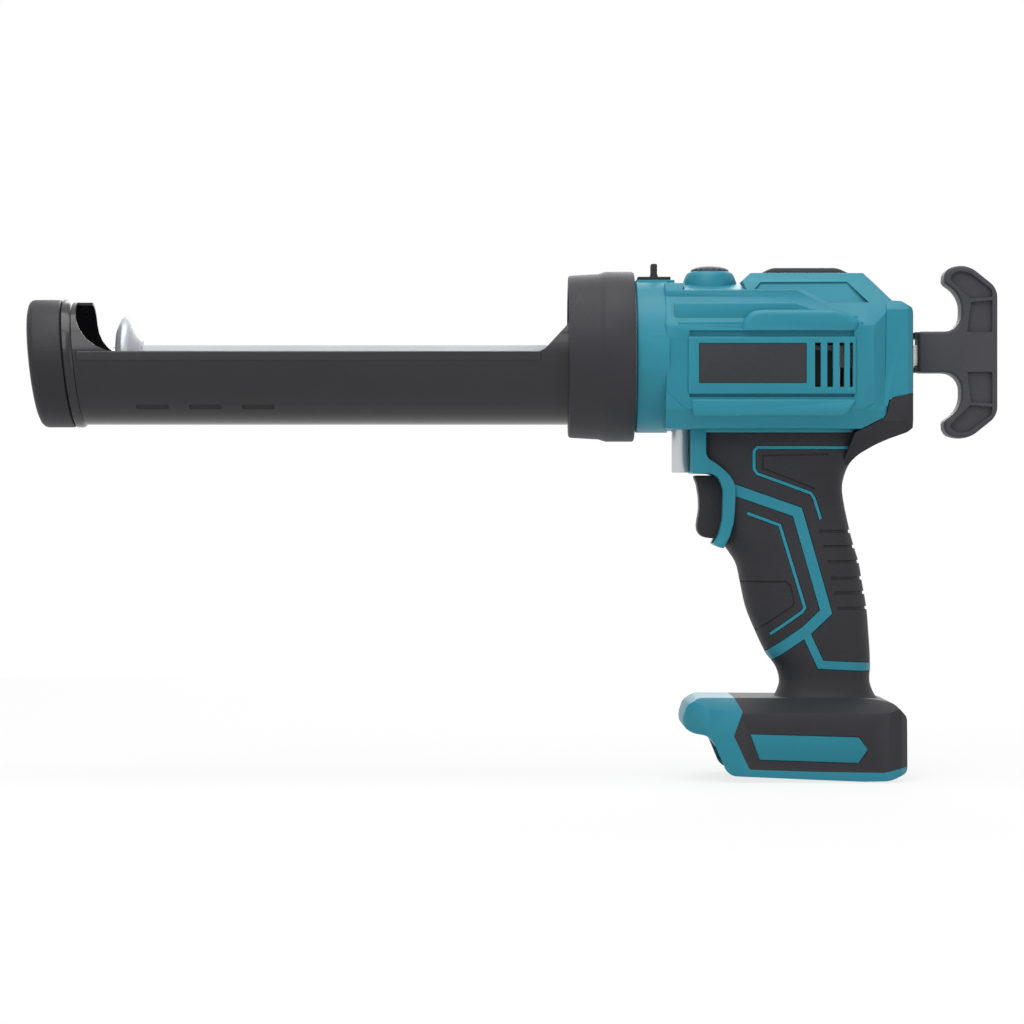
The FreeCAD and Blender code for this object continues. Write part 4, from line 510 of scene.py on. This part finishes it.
core = slab("left_shell", [
    (281, 35.2), (314.4, 35.2), (319.2, 39.8), (325.0, 41.0), (368.6, 41.0), (381.6, 27.0), (385.6, 27.0),
    (HOUSING_REAR, 22.2), (HOUSING_REAR, -29.8), (281, -29.8),
], -CORE_HALF, 4)
slice_off(core, (0, 2, 41.0), (0, -ROOF_FALL, 1))
slice_off(core, (0, -CREASE[0], CREASE[1]), (0, -1, 1))
slice_off(core, (0, -CREASE[0], CREASE[1]), (0, -1, SLOPE))
slice_off(core, (0, -CORE_HALF, -21.5), (0, -8.5, -6.5))
slice_off(core, *VALLEY)
slice_off(core, *REAR_FACE)
soften(core, 0.5, 2)
nose = lathe("nose", [(268.1, 0.0), (268.1, 33.4), (268.9, 34.2), (282.6, 34.2), (282.6, 0.0)], (0, 0, DRIVE_AXIS), steps=128)
BAND_REAR = HOUSING_REAR - 0.2
LEDGES = [
    ("upper_ledge", [(281.2, 32.0), (339.2, 32.0), (353, 25.4), (366, 25.4), (366, 8), (281.2, 8)], 24.0, 0.6),
    ("middle_ledge", [(285, 25.8), (338.6, 25.8), (352, 20.5), (366, 20), (366, 6), (285, 6)], 30.9, 0.6),
    ("lower_ledge", [(286.4, 17.5), (368, 17.5), (368, 4), (286.4, 4)], 33.2, 0.5),
    ("side_face", [(281.2, 16), (376, 16), (376, -17), (368, -21.5), (289.9, -21.5), (281.2, -13.1)], 33.4, 0.5),
    ("upper_swelling", [(314.3, 17.4), (318.6, 22.0, 2), (324.0, 22.7), (357.4, 22.6, 4), (367.4, 17.4, 3), (364.4, 12.2),
                         (314.3, 12.2)], 34.8, 2.6),
    ("lower_swelling", [(292, -16.8), (366, -16.8, 3), (360, -24.5, 3), (293, -24.5)], 34.4, 2.2),
    ("panel", [(290.8, 10.6, 0.8), (364.8, 10.6, 0.8), (364.8, -14.6, 0.8), (290.8, -14.6, 0.8)], 34.5, 0.5),
    ("rear_band", [(379.6, 26.8, 1), (385.4, 26.8, 1.2), (BAND_REAR, 22.0, 1.5), (BAND_REAR, -20), (377.6, -20),
                   (376.6, -11), (378.2, -7), (378.7, 24.6)], 29.6, 0),
]
combine(core, nose, "UNION")
for name, outline, half, soft in LEDGES:
    step = slab(name, outline, -half, -10, soft)
    if name == "side_face":
        slice_off(step, (VALLEY[0][0] - 0.15, VALLEY[0][1], 0), VALLEY[1])
    if name == "rear_band":
        slice_off(step, (388.0, -half, 0), REAR_CORNER)
        slice_off(step, (REAR_FACE[0][0] - 0.2, REAR_FACE[0][1], 0), REAR_FACE[1])
        slice_off(step, (0, -CREASE[0] - 1.4, CREASE[1]), (0, -1, SLOPE))
        soften(step, 0.8, 3, 25)
    combine(core, step, "UNION")
# Deep lines between the panel and the swellings above and below it.
for top, bottom in ((13.4, 10.7), (-14.7, -16.0)):
    combine(core, slab("panel_line", [(291.4, top), (364, top), (364, bottom), (291.4, bottom)], -40, -31.9))
pad = slab("slider_pad", [(268.3, 37.4, 1), (286, 37.4), (286, 29), (268.3, 29)], -6.6, 3, 0.5)
combine(core, pad, "UNION")
combine(core, slab("right_half", [(250, 60), (410, 60), (410, -60), (250, -60)], -SEAM, 60))
# The roof falls away round the dial, so that its ring stands clear.
relief = slab("dial_relief", [(291.5, 60), (315.4, 60), (315.4, 36.6), (317.6, 31.4), (317.6, 20), (288.4, 20),
                              (288.4, 31.4), (291.0, 37.2)], -40, 1)
slice_off(relief, (0, 0, 36.5), (0, 0.2, -1))
combine(core, relief)


def on_slope(piece, top_depth, bottom_depth):
    """Moves the inner face of a cutting tool so that it lies under the housing's sloping flank, at a depth that goes
    from one value at its top to another at its bottom."""
    inner = max(vertex.co.y for vertex in piece.data.vertices)
    top = max(vertex.co.z for vertex in piece.data.vertices)
    bottom = min(vertex.co.z for vertex in piece.data.vertices)
    for vertex in piece.data.vertices:
        if vertex.co.y > inner - 1e-6:
            rise = CREASE[1] - vertex.co.z / MM
            share = (top - vertex.co.z) / (top - bottom)
            depth = top_depth + (bottom_depth - top_depth) * share
            vertex.co.y = (-(CREASE[0] + rise * SLOPE) + depth) * MM
    return piece


top_inset = slab("top_inset", [(320.7, 32.3), (323.6, 35.5), (362.0, 35.7), (371.2, 26.2), (353.4, 25.8), (342.2, 32.3)],
                 -45, -10)
combine(core, on_slope(top_inset, 0.8, 2.4))
LABEL = [(295.5, 7.8), (343.0, 7.8), (343.0, -9.9), (295.5, -9.9)]
LABEL_DEPTH = 0.8
combine(core, slab("label_recess", [c + (0.3,) for c in LABEL], -40, -34.5 + LABEL_DEPTH))
VENT_STARTS = [346.6, 352.0, 357.4, 362.0]
VENT_WIDTHS = [2.6, 2.6, 2.2, 1.4]
for start, width in zip(VENT_STARTS, VENT_WIDTHS):
    vent = slab("vent", [(start, 8.0, 0.3), (start + width, 8.0, 0.3), (start + width, -11.6, 0.3), (start, -11.6, 0.3)],
                -40, -26)
    combine(core, vent)
HOLLOWS = [
    ("low_room", [(284, 13.5), (364, 13.5), (384, 13.5), (384, -27), (284, -27)], 30.8),
    ("middle_room", [(284, 23.5), (376, 23.5), (384, 20), (384, 10), (284, 10)], 26.0),
    ("high_room", [(320, 34.6), (324, 37.0), (367, 37.0), (378, 25), (378, 20), (320, 20)], 15.5),
    ("cam_room", [(284, 30.4), (321, 30.4), (321, 20), (284, 20)], 15.5),
    ("pot_room", [(284, 34.6), (318, 34.6), (318, 20), (284, 20)], 8.2),
    ("nose_room", [(271, 24), (286, 24), (286, -18), (271, -18)], 20),
]
for name, outline, half in HOLLOWS:
    hollow = slab(name, outline, -half, 10)
    if name == "low_room":
        slice_off(hollow, (371.5, -30.8, 0), VALLEY[1])
        slice_off(hollow, (0, -CORE_HALF + 3.2, -20.5), (0, -8.5, -6.5))
    combine(core, hollow)
combine(core, slab("bush_window", [(380, 11.1), (400, 11.1), (400, -4.9), (380, -4.9)], -7.5, 10))
combine(core, slab("slider_slot", [(274.3, 50), (283.9, 50), (283.9, 20), (274.3, 20)], -2.8, 10))
combine(core, lathe("dial_hole", [(20, 0), (20, 3.3), (50, 3.3), (50, 0)], (302, 0, 0), "Z", 32))
combine(core, lathe("nose_hole", [(260, 0), (260, 26.3), (272, 26.3), (272, 0)], (0, 0, DRIVE_AXIS), steps=96))
combine(core, slab("overmould_seat", [(395, -13.1), (381.7, -15.9), (379.7, -17.3), (378.5, -23.4), (377.3, -25.0),
                                      (365.1, -31.1), (365.1, -40), (395, -40)], -50, 10))
right_core = mirror_copy(core, "right_shell")
LONG_SCREWS = [(277.6, 18.1), (277.6, -19.9), (335, 33.3), (385.4, 18.6), (384.4, -19.9)]
for x, z in LONG_SCREWS:
    hole = lathe("screw_hole", [(-14, 0), (-14, 3.2), (50, 3.2), (50, 0)], (x, 0, 0), "Z", 32)
    hole.data.transform(Matrix.Translation((0, 35 * MM, z * MM)) @ Matrix.Rotation(math.radians(-90), 4, "X"))
    combine(right_core, hole)
dress(core, teal, "tool_body", "shell_plastic", "left_housing")
dress(right_core, teal, "tool_body", "shell_plastic", "right_housing")

# Label plates. Thin dark plates with a fine speckled surface, let into the panel on each side and left bare.
label_dark = finish("label_dark", (52, 53, 56), 0.62, 900, 0.5, spread=0.25, clouds=900)
left_label = slab("left_label", [c + (0.3,) for c in [(295.7, 7.6), (342.8, 7.6), (342.8, -9.7), (295.7, -9.7)]],
                  -34.35, -34.5 + LABEL_DEPTH, 0.12)
right_label = mirror_copy(left_label, "right_label")
dress(left_label, label_dark, "tool_body", "label_film", "left_label_plate")
dress(right_label, label_dark, "tool_body", "label_film", "right_label_plate")

# Rear overmould. Soft black rubber moulded over the housing's lower rear corner, which runs down into the back of the
# grip as a saddle for the hand's web.
grip_black = finish("grip_black", (43, 43, 47), 0.58, 1500, 0.35)
TAIL_EDGE = [(HOUSING_REAR, -13.5), (381.8, -16.2, 0.8), (380.0, -17.5, 0.8), (378.8, -23.6, 1), (377.5, -25.3, 1), (365.3, -31.4)]
TAIL_BACK = [(361.2, -44.5), (362.9, -46.0), (367.5, -41.1, 2), (374.2, -37.0, 2), (380.1, -34.3, 2),
             (389.3, -31.0, 2), (391.2, -28.4, 1), (HOUSING_REAR, -25.6)]
TAIL_HALF = 29.9
tail = slab("left_tail", TAIL_EDGE + TAIL_BACK, -TAIL_HALF, 3)
slice_off(tail, (0, -TAIL_HALF, -26.5), (0, -12.5, -13.9))
slice_off(tail, (388.2, -TAIL_HALF, 0), REAR_CORNER)
slice_off(tail, *REAR_FACE)
soften(tail, 0.9, 3, 25)
combine(tail, slab("tail_room", [(340, -10), (389.5, -10), (389.5, -26), (384, -28.5), (340, -28.5)], -23, 10))
slice_off(tail, (0, -SEAM, 0), (0, 1, 0))

# Grip. Each housing half carries a hollow teal core under a soft black cover. Ridges of the core come up through gaps
# in the cover as teal lines, and the back of the cover has six finger ribs.
# Sections of the grip from top to bottom: height, front edge, back edge and half width.
GRIP_SECTIONS = [
    (-26.0, 287.0, 384.0, 16.5), (-35.7, 288.0, 377.4, 16.8), (-39.3, 289.0, 370.6, 16.9), (-45.0, 292.0, 364.8, 17.0),
    (-52.6, 296.0, 361.8, 17.0), (-59.0, 299.0, 361.6, 17.1), (-75.1, 304.0, 364.8, 17.6), (-83.2, 309.6, 367.0, 17.9),
    (-89.5, 313.6, 368.9, 18.1), (-98.0, 315.6, 370.3, 18.3), (-109.6, 318.2, 372.3, 18.2), (-120.4, 322.6, 373.2, 17.9),
    (-129.7, 327.1, 373.8, 17.6), (-136.0, 331.6, 373.9, 17.4), (-142.6, 333.3, 373.7, 17.6), (-148.2, 331.5, 375.7, 19.0),
    (-151.6, 329.0, 378.5, 22.0), (-155.0, 326.0, 381.0, 26.0),
]
GRIP_SQUARENESS = 2.7
GRIP_AROUND = 72
GRIP_RINGS = 110
SKIN = 1.6
CORE_WALL = 2.5


def grip_section(height):
    """Front edge, back edge and half width at a height, on a smooth curve through the sections."""
    last = len(GRIP_SECTIONS) - 1
    above = max(i for i in range(last) if GRIP_SECTIONS[i][0] >= height or i == 0)
    rows = [GRIP_SECTIONS[min(max(above + step, 0), last)] for step in (-1, 0, 1, 2)]
    share = (height - rows[1][0]) / (rows[2][0] - rows[1][0])
    values = []
    for item in (1, 2, 3):
        before, start, end, after = [row[item] for row in rows]
        span = rows[1][0] - rows[2][0]
        leave = (end - before) * span / max(rows[0][0] - rows[2][0], 0.1)
        arrive = (after - start) * span / max(rows[1][0] - rows[3][0], 0.1)
        square, cube = share ** 2, share ** 3
        values.append((2 * cube - 3 * square + 1) * start + (cube - 2 * square + share) * leave
                      + (3 * square - 2 * cube) * end + (cube - square) * arrive)
    return values


def grip_form(name, inward, top=-26.0, bottom=-154.5):
    """The grip's closed form, drawn in by a distance."""
    bpy.ops.object.select_all(action="DESELECT")
    bpy.ops.mesh.primitive_grid_add(x_subdivisions=GRIP_AROUND, y_subdivisions=GRIP_RINGS, size=2)
    piece = bpy.context.object
    piece.name = name
    for vertex in piece.data.vertices:
        turn = math.pi * (vertex.co.x + 1)
        height = top + (bottom - top) * (vertex.co.y + 1) / 2
        front, back, half = grip_section(height)
        reach = (back - front) / 2 - inward
        along = math.copysign(abs(math.cos(turn)) ** (2 / GRIP_SQUARENESS), math.cos(turn))
        across = math.copysign(abs(math.sin(turn)) ** (2 / GRIP_SQUARENESS), math.sin(turn))
        vertex.co = Vector(((front + back) / 2 + reach * along, (half - inward) * across, height)) * MM
    edit_all(piece)
    bpy.ops.mesh.remove_doubles(threshold=0.000001)
    bpy.ops.mesh.select_all(action="SELECT")
    bpy.ops.mesh.fill_holes(sides=0)
    close_edit()
    return piece


def band(line, width):
    """The outline of a strip of even width along a line of (x, z) points."""
    points = [Vector(point) for point in line]
    left, right = [], []
    for index, point in enumerate(points):
        back = (point - points[index - 1]).normalized() if index else None
        ahead = (points[index + 1] - point).normalized() if index + 1 < len(points) else None
        way = ((back or ahead) + (ahead or back)).normalized()
        normal = Vector((-way.y, way.x))
        square = Vector((-(ahead or back).y, (ahead or back).x))
        reach = width / 2 / max(normal.dot(square), 0.4)
        left.append(point + normal * reach)
        right.append(point - normal * reach)
    return [tuple(point) for point in left + right[::-1]]


CHEEK = [
    (292.9, -28.5), (299.6, -28.5), (299.6, -42.2, 2.2), (304.6, -45.3, 2), (310.6, -50.4, 3), (312.9, -55.6, 2),
    (312.4, -66.0), (311.9, -71.5), (310.2, -77.4), (307.4, -83.0, 0.6), (303.0, -81.0, 0.6), (305.2, -76.6),
    (306.8, -70.2), (307.3, -56.4, 2.5), (304.8, -50.6, 2), (301.2, -49.5), (292.9, -49.3, 0.8),
]
GRIP_FRONT = CHEEK[1:10] + [(280.0, -83.0), (280.0, -28.5)]
CHEEK_HALF = 17.6
BROAD_LINES = [
    ([(309.5, -55.9), (340.2, -66.7), (352.9, -111.2), (343.8, -119.9), (320.0, -136.5)], 4.8),
    ([(343.6, -120.0), (350.5, -134.7), (380.0, -136.2)], 3.6),
]
THIN_LINES = [
    ([(364.1, -38), (322.3, -38), (320.9, -39.6), (320.9, -47.6), (322.3, -49.6), (346.2, -58.3), (347.8, -60.7),
      (350.6, -69.8)], 1.3),
    ([(317.9, -67.2), (332.3, -72.6), (343.4, -109.2), (342.2, -111.2), (328.3, -121.1)], 1.3),
]
GROOVE_LINES = [
    ([(308, -97.7), (335, -97.7), (337, -99.7), (338.6, -106), (338.2, -108.4), (320, -121)], 0.8),
    ([(354, -40.9), (324.9, -41.6), (324.7, -47.2), (347.8, -56.3)], 0.8),
]
LINE_GAP = 0.35
RIDGE_PROUD = 0.1


def line_slabs(lines, wider):
    """Cutting tools along a set of lines, on the left side."""
    return [slab("line", band(points, width + 2 * wider), -30, -2.5) for points, width in lines]


def trigger_room():
    """The slot that the trigger, its spring and the switch stand in."""
    return slab("trigger_room", [(280, -49.7), (346, -49.7), (346, -80.6), (280, -80.6)], -8.1, 8.1)


combine(tail, grip_form("grip_clear", 0.03))
right_tail = mirror_copy(tail, "right_tail")
for piece in (tail, right_tail):
    dress(piece, grip_black, "tool_body", "grip_rubber")

cover = grip_form("left_grip_skin", 0)
combine(cover, grip_form("inner", SKIN, -24.0, -156.0))
slice_off(cover, (0, -SEAM, 0), (0, 1, 0))
slice_off(cover, (0, 0, -30.3), (0, 0, 1))
combine(cover, slab("front_room", GRIP_FRONT, -40, 1))
for tool in line_slabs(BROAD_LINES + THIN_LINES, LINE_GAP):
    combine(cover, tool)
GROOVE_DEPTH = 0.55
for tool in line_slabs(GROOVE_LINES, 0):
    combine(tool, grip_form("under", GROOVE_DEPTH))
    combine(cover, tool)
RIB_HEIGHTS = [-75.4, -82.2, -88.9, -96.25, -102.8, -109.6]
RIB_FRONTS = [350.0, 351.8, 353.6, 355.2, 356.6, 358.0]
for height, front in zip(RIB_HEIGHTS, RIB_FRONTS):
    groove = slab("rib_groove", [(front, height + 0.75), (390, height + 0.75), (390, height - 0.75), (front, height - 0.75)],
                  -30, 2)
    combine(groove, grip_form("under", 0.7))
    combine(cover, groove)
combine(cover, trigger_room())
right_cover = mirror_copy(cover, "right_grip_skin")

core_grip = grip_form("left_grip_core", SKIN + 0.02, -28.0, -153.0)
combine(core_grip, slab("front_room", GRIP_FRONT, -40, 40))
combine(core_grip, grip_form("inner", SKIN + CORE_WALL, -24.0, -157.0))
slice_off(core_grip, (0, -SEAM, 0), (0, 1, 0))
combine(core_grip, trigger_room())
right_core_grip = mirror_copy(core_grip, "right_grip_core")

ridges = line_slabs(BROAD_LINES + THIN_LINES, 0)
ridge = ridges[0]
for tool in ridges[1:]:
    combine(ridge, tool, "UNION")
combine(ridge, grip_form("limit", -RIDGE_PROUD), "INTERSECT")
combine(ridge, grip_form("inner", SKIN - 0.05, -24.0, -156.0))
combine(ridge, slab("cheek_clear", CHEEK, -40, 1))
ridge.name = "left_grip_lines"
right_ridge = mirror_copy(ridge, "right_grip_lines")

cheek = slab("left_trigger_block", CHEEK, -CHEEK_HALF, -SEAM, 1.1)
combine(cheek, trigger_room())
right_cheek = mirror_copy(cheek, "right_trigger_block")
skirt = slab("left_skirt", [(299.2, -29.2), (366.4, -29.2), (364.4, -31.2), (299.2, -31.2)], -CHEEK_HALF - 0.1, -SEAM, 0.3)
right_skirt = mirror_copy(skirt, "right_skirt")
dress(cover, grip_black, "tool_body", "grip_rubber", "left_grip_cover")
dress(right_cover, grip_black, "tool_body", "grip_rubber", "right_grip_cover")
for piece in (core_grip, right_core_grip, ridge, right_ridge, cheek, right_cheek, skirt, right_skirt):
    dress(piece, teal, "tool_body", "shell_plastic")

# Foot. The lower end of the two housing halves, hollow, with rails below that a slide-on battery hangs from. A teal
# nose and bottom rim frame the black sides, and each side carries a teal inlay.
FOOT_HALF = 37.0
FOOT_SIDE = [
    (296.0, -149.0, 1.5), (290.9, -152.2, 1.5), (288.7, -158.2, 2), (289.4, -162.2, 1.5), (292.8, -164.6, 2),
    (299.8, -165.5, 2.5), (302.8, -169.2, 2.5), (307.6, -180.9, 1), (310.2, -183.0, 1.5), (345.0, -184.5), (368.0, -185.4),
    (380.0, -185.2, 3), (388.0, -181.8, 2), (387.8, -157.4, 1.5), (381.6, -151.0, 2), (372.0, -149.4, 3),
]


def foot_shape(name):
    """The left half of the foot's outside."""
    piece = slab(name, FOOT_SIDE, -FOOT_HALF, 3)
    slice_off(piece, (0, -24.0, -149.0), (0, -6.4, 13.0))
    slice_off(piece, (312, -36.4, 0), (-3.2, -12.0, 0))
    slice_off(piece, (300, -33.2, 0), (-9.0, -10.0, 0))
    slice_off(piece, (290, -24.2, 0), (-6.0, -3.1, 0))
    slice_off(piece, (379.0, -FOOT_HALF, 0), (6.0, -9.0, 0))
    slice_off(piece, (385.0, -FOOT_HALF + 4.0, 0), (9.0, -6.0, 0))
    soften(piece, 1.3, 3, 20)
    slice_off(piece, (0, -SEAM, 0), (0, 1, 0))
    return piece


BLACK_SIDE = [
    (310.6, -140), (310.6, -147.2), (314.6, -154.6), (310.8, -165.4), (317.6, -180.1, 1), (345, -181.0), (376.8, -181.5),
    (386.3, -179.6), (395, -178.8), (395, -140),
]
INLAY = [(317.8, -164.3), (366.0, -165.6), (370.0, -171.5), (365.8, -177.4), (321.9, -176.0)]
CHANNEL = [(280, -170.5), (381, -170.5), (381, -179.5), (280, -179.5)]
CHANNEL_HALF = 30.5
MOUTH_HALF = 26.5


def foot_hollows(piece):
    """Cuts the battery's channel and the room above it."""
    combine(piece, slab("channel", CHANNEL, -CHANNEL_HALF, 10))
    combine(piece, slab("mouth", [(280, -178), (381, -178), (381, -200), (280, -200)], -MOUTH_HALF, 10))
    room = slab("foot_room", [(316, -151), (372, -151), (382, -159), (382, -168), (310, -168), (304, -160)], -22, 10)
    combine(piece, room)
    for y in (-12.75, 11.25):
        combine(piece, slab("blade_slot", [(341.8, -160), (358.2, -160), (358.2, -175), (341.8, -175)], y, y + 1.5))
    return piece


foot_teal = foot_hollows(combine(foot_shape("left_foot_nose"), slab("black_side", BLACK_SIDE, -60, 10)))
foot_black = foot_hollows(combine(foot_shape("left_foot_side"), slab("black_side", BLACK_SIDE, -60, 10), "INTERSECT"))
combine(foot_black, slab("inlay_recess", INLAY, -60, -FOOT_HALF + 0.9))
right_foot_teal = mirror_copy(foot_teal, "right_foot_nose")
right_foot_black = mirror_copy(foot_black, "right_foot_side")
inlay = slab("left_inlay", [(x + (0.2 if x < 340 else -0.25), z - math.copysign(0.2, z + 171)) for x, z in INLAY],
             -FOOT_HALF + 0.12, -FOOT_HALF + 0.9, 0.2)
right_inlay = mirror_copy(inlay, "right_inlay")
inlay_teal = finish("inlay_teal", (32, 120, 138), 0.4, 1700, 0.1, spread=0.05)
for piece in (foot_teal, right_foot_teal):
    dress(piece, teal, "tool_body", "shell_plastic")
for piece in (foot_black, right_foot_black):
    dress(piece, grip_black, "tool_body", "grip_rubber")
dress(inlay, inlay_teal, "tool_body", "inlay_plastic", "left_foot_inlay")
dress(right_inlay, inlay_teal, "tool_body", "inlay_plastic", "right_foot_inlay")

# Trigger. A black plastic lever with a finger curve, which slides straight back into its slot against a wire spring
# and works the switch with a square stem.
control_black = finish("control_black", (42, 41, 45), 0.5, 1500, 0.25)
trigger = slab("trigger_blade", [
    (294.5, -50.3, 1), (296.0, -54.3), (297.0, -60.0, 3), (297.1, -65.5, 3), (296.2, -70.6, 3), (295.8, -74.0, 2),
    (297.3, -77.3, 2), (301.0, -78.5, 2), (312.3, -78.6), (312.3, -50.3),
], -7.5, 7.5, 1.6, 4)
stem = slab("stem", [(311, -61.3), (325, -61.3), (325, -67.3), (311, -67.3)], -3, 3)
combine(trigger, stem, "UNION")
dress(trigger, control_black, "trigger", "control_plastic", "trigger")

# Trigger spring. Five turns of thin zinc-plated wire between the blade and the switch.
SPRING_START = 312.85
SPRING_RUN = 10.1
SPRING_TURNS = 5
SPRING_RADIUS = 5.0
SPRING_WIRE = 0.4
TRIGGER_HEIGHT = -64.3
bpy.ops.object.select_all(action="DESELECT")
bpy.ops.mesh.primitive_circle_add(vertices=10, radius=SPRING_WIRE * MM, fill_type="NOTHING")
spring = bpy.context.object
spring.name = "trigger_spring_wire"
spring.data.transform(Matrix.Translation((0, 0, SPRING_RADIUS * MM)) @ Matrix.Rotation(math.radians(90), 4, "X"))
coil = spring.modifiers.new("coil", "SCREW")
coil.axis = "X"
coil.iterations = SPRING_TURNS
coil.screw_offset = SPRING_RUN / SPRING_TURNS * MM
coil.steps = 32
coil.render_steps = 32
apply_all(spring)
edit_all(spring)
bpy.ops.mesh.fill_holes(sides=0)
close_edit()
spring.data.transform(Matrix.Translation(Vector((SPRING_START, 0, TRIGGER_HEIGHT)) * MM))
dress(spring, zinc, "tool_body", "zinc_steel", "trigger_spring")
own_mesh(spring)

# Top pad. A black rubber strip set into the flat of the housing's roof, with sloping ends.
pad_black = finish("pad_black", (66, 67, 73), 0.55, 1500, 0.3)
top_pad = slab("top_pad_strip", [(324.4, 40.1), (329.2, 42.5, 2), (358.6, 42.5, 2), (363.8, 40.1)], -10, 10, 0.7)
dress(top_pad, pad_black, "tool_body", "grip_rubber", "top_pad")

# Speed dial. A dark plastic button with a milled edge that turns in a raised teal ring on the roof.
DIAL_AT = (302.0, 0, 0)
bezel = lathe("dial_ring", [
    (33.0, 4.0), (33.0, 12.2), (36.5, 12.0), (39.0, 11.1), (40.2, 10.5), (40.8, 9.9), (41.2, 9.0), (41.3, 8.4),
    (41.3, 4.0),
], DIAL_AT, "Z", 96)
dress(bezel, teal, "tool_body", "shell_plastic", "dial_bezel")
dial_dark = finish("dial_dark", (58, 62, 68), 0.45, 1500, 0.2)
dial = lathe("dial_button", [
    (34.7, 0.0), (34.7, 3.0), (41.35, 3.0), (41.35, 8.6), (41.8, 8.6), (42.4, 8.0), (43.0, 6.8), (43.5, 4.9), (43.8, 2.4),
    (43.85, 0.0),
], DIAL_AT, "Z", 64)
NOTCHES = 18
for number in range(NOTCHES):
    turn = 2 * math.pi * number / NOTCHES
    notch = slab("notch", [(8.1, 41.0), (9.2, 41.0), (9.2, 43.0), (7.6, 43.0)], -0.35, 0.35)
    notch.data.transform(Matrix.Translation(Vector(DIAL_AT) * MM) @ Matrix.Rotation(turn, 4, "Z"))
    combine(dial, notch)
pointer = slab("pointer", [(3.0, 43.2), (6.4, 42.9), (6.4, 45.0), (3.0, 45.0)], -0.5, 0.5)
pointer.data.transform(Matrix.Translation(Vector(DIAL_AT) * MM))
combine(dial, pointer)
dress(dial, dial_dark, "dial", "control_plastic", "speed_dial")

# Release slider. A black plastic thumb slide on the roof that draws the clutch open, so that the rod can be pulled back.
slider = slab("slider_plate", [(269.4, 37.45), (284.2, 37.45), (284.2, 38.8, 0.4), (269.4, 38.8, 0.4)], -6, 6, 0.25)
post = slab("post", [(274.7, 38), (278.9, 38), (278.2, 40.2), (278.2, 44.7, 0.6), (275.4, 44.7, 0.6), (275.4, 40.2)],
            -5, 5, 0.5)
combine(slider, post, "UNION")
combine(slider, slab("stem", [(274.6, 24.9), (279.1, 24.9), (279.1, 38.5), (274.6, 38.5)], -2.5, 2.5), "UNION")
dress(slider, control_black, "slider", "control_plastic", "release_slider")

# Lamp. A bright drawn aluminium tube under the housing with a clear lens inside its lower end.
lamp_silver = finish("lamp_silver", (206, 208, 211), 0.36, 500, 0.03, metal=0.6, stretch=(1, 1, 0.1), spread=0.05)
lamp_tube = lathe("lamp_tube_drawn", [
    (-27.4, 3.3), (-27.4, 4.1), (-48.6, 4.1), (-48.9, 3.95), (-49.0, 3.7), (-48.9, 3.4), (-48.6, 3.3),
], (289.0, 0, 0), "Z", 64)
dress(lamp_tube, lamp_silver, "tool_body", "lamp_metal", "lamp_tube")
lens_clear = finish("lens_clear", (225, 232, 236), 0.12, 300, 0.02, spread=0.02)
lens_shader = lens_clear.node_tree.nodes["Principled BSDF"]
lens_shader.inputs["Transmission Weight"].default_value = 0.7
paint_node("lamp_lens", lens_clear)

# Drive train and inner pieces. Cut steel gears, sintered brass bushes, a cast alloy case, a can motor, the switch, the
# circuit board and the battery's contacts, all inside the housing, with the steel screws that hold the halves.
gear_steel = finish("gear_steel", (150, 152, 156), 0.32, 700, 0.12, metal=0.9, spread=0.15)
case_alloy = finish("case_alloy", (158, 160, 163), 0.5, 900, 0.3, metal=0.8)
bush_brass = finish("bush_brass", (176, 146, 88), 0.4, 900, 0.15, metal=0.85)
board_green = finish("board_green", (22, 40, 31), 0.4, 800, 0.1)
inner_plastic = finish("inner_plastic", (48, 49, 52), 0.5, 1400, 0.2)
INNER_PIECES = [
    (zinc, ["holder_end_plate", "long_housing_screws", "short_housing_screws", "terminal_blades"]),
    (gear_steel, ["rack_pinion", "worm_shaft", "clutch_disc", "cam_plate", "planet_carrier", "planet_gear_a",
                  "planet_gear_b", "planet_gear_c", "motor_armature", "motor_can", "motor_magnets", "clutch_fork"]),
    (case_alloy, ["gear_case", "gear_case_cover", "nose_socket"]),
    (bush_brass, ["front_rod_bush", "rear_rod_bush", "left_shaft_bush", "right_shaft_bush", "worm_front_bearing",
                  "worm_rear_bearing", "worm_wheel"]),
    (board_green, ["control_board"]),
    (inner_plastic, ["ring_gear_case", "motor_end_cap", "speed_pot", "switch_body", "terminal_block"]),
]
for material, names in INNER_PIECES:
    for name in names:
        paint_node(name, material)
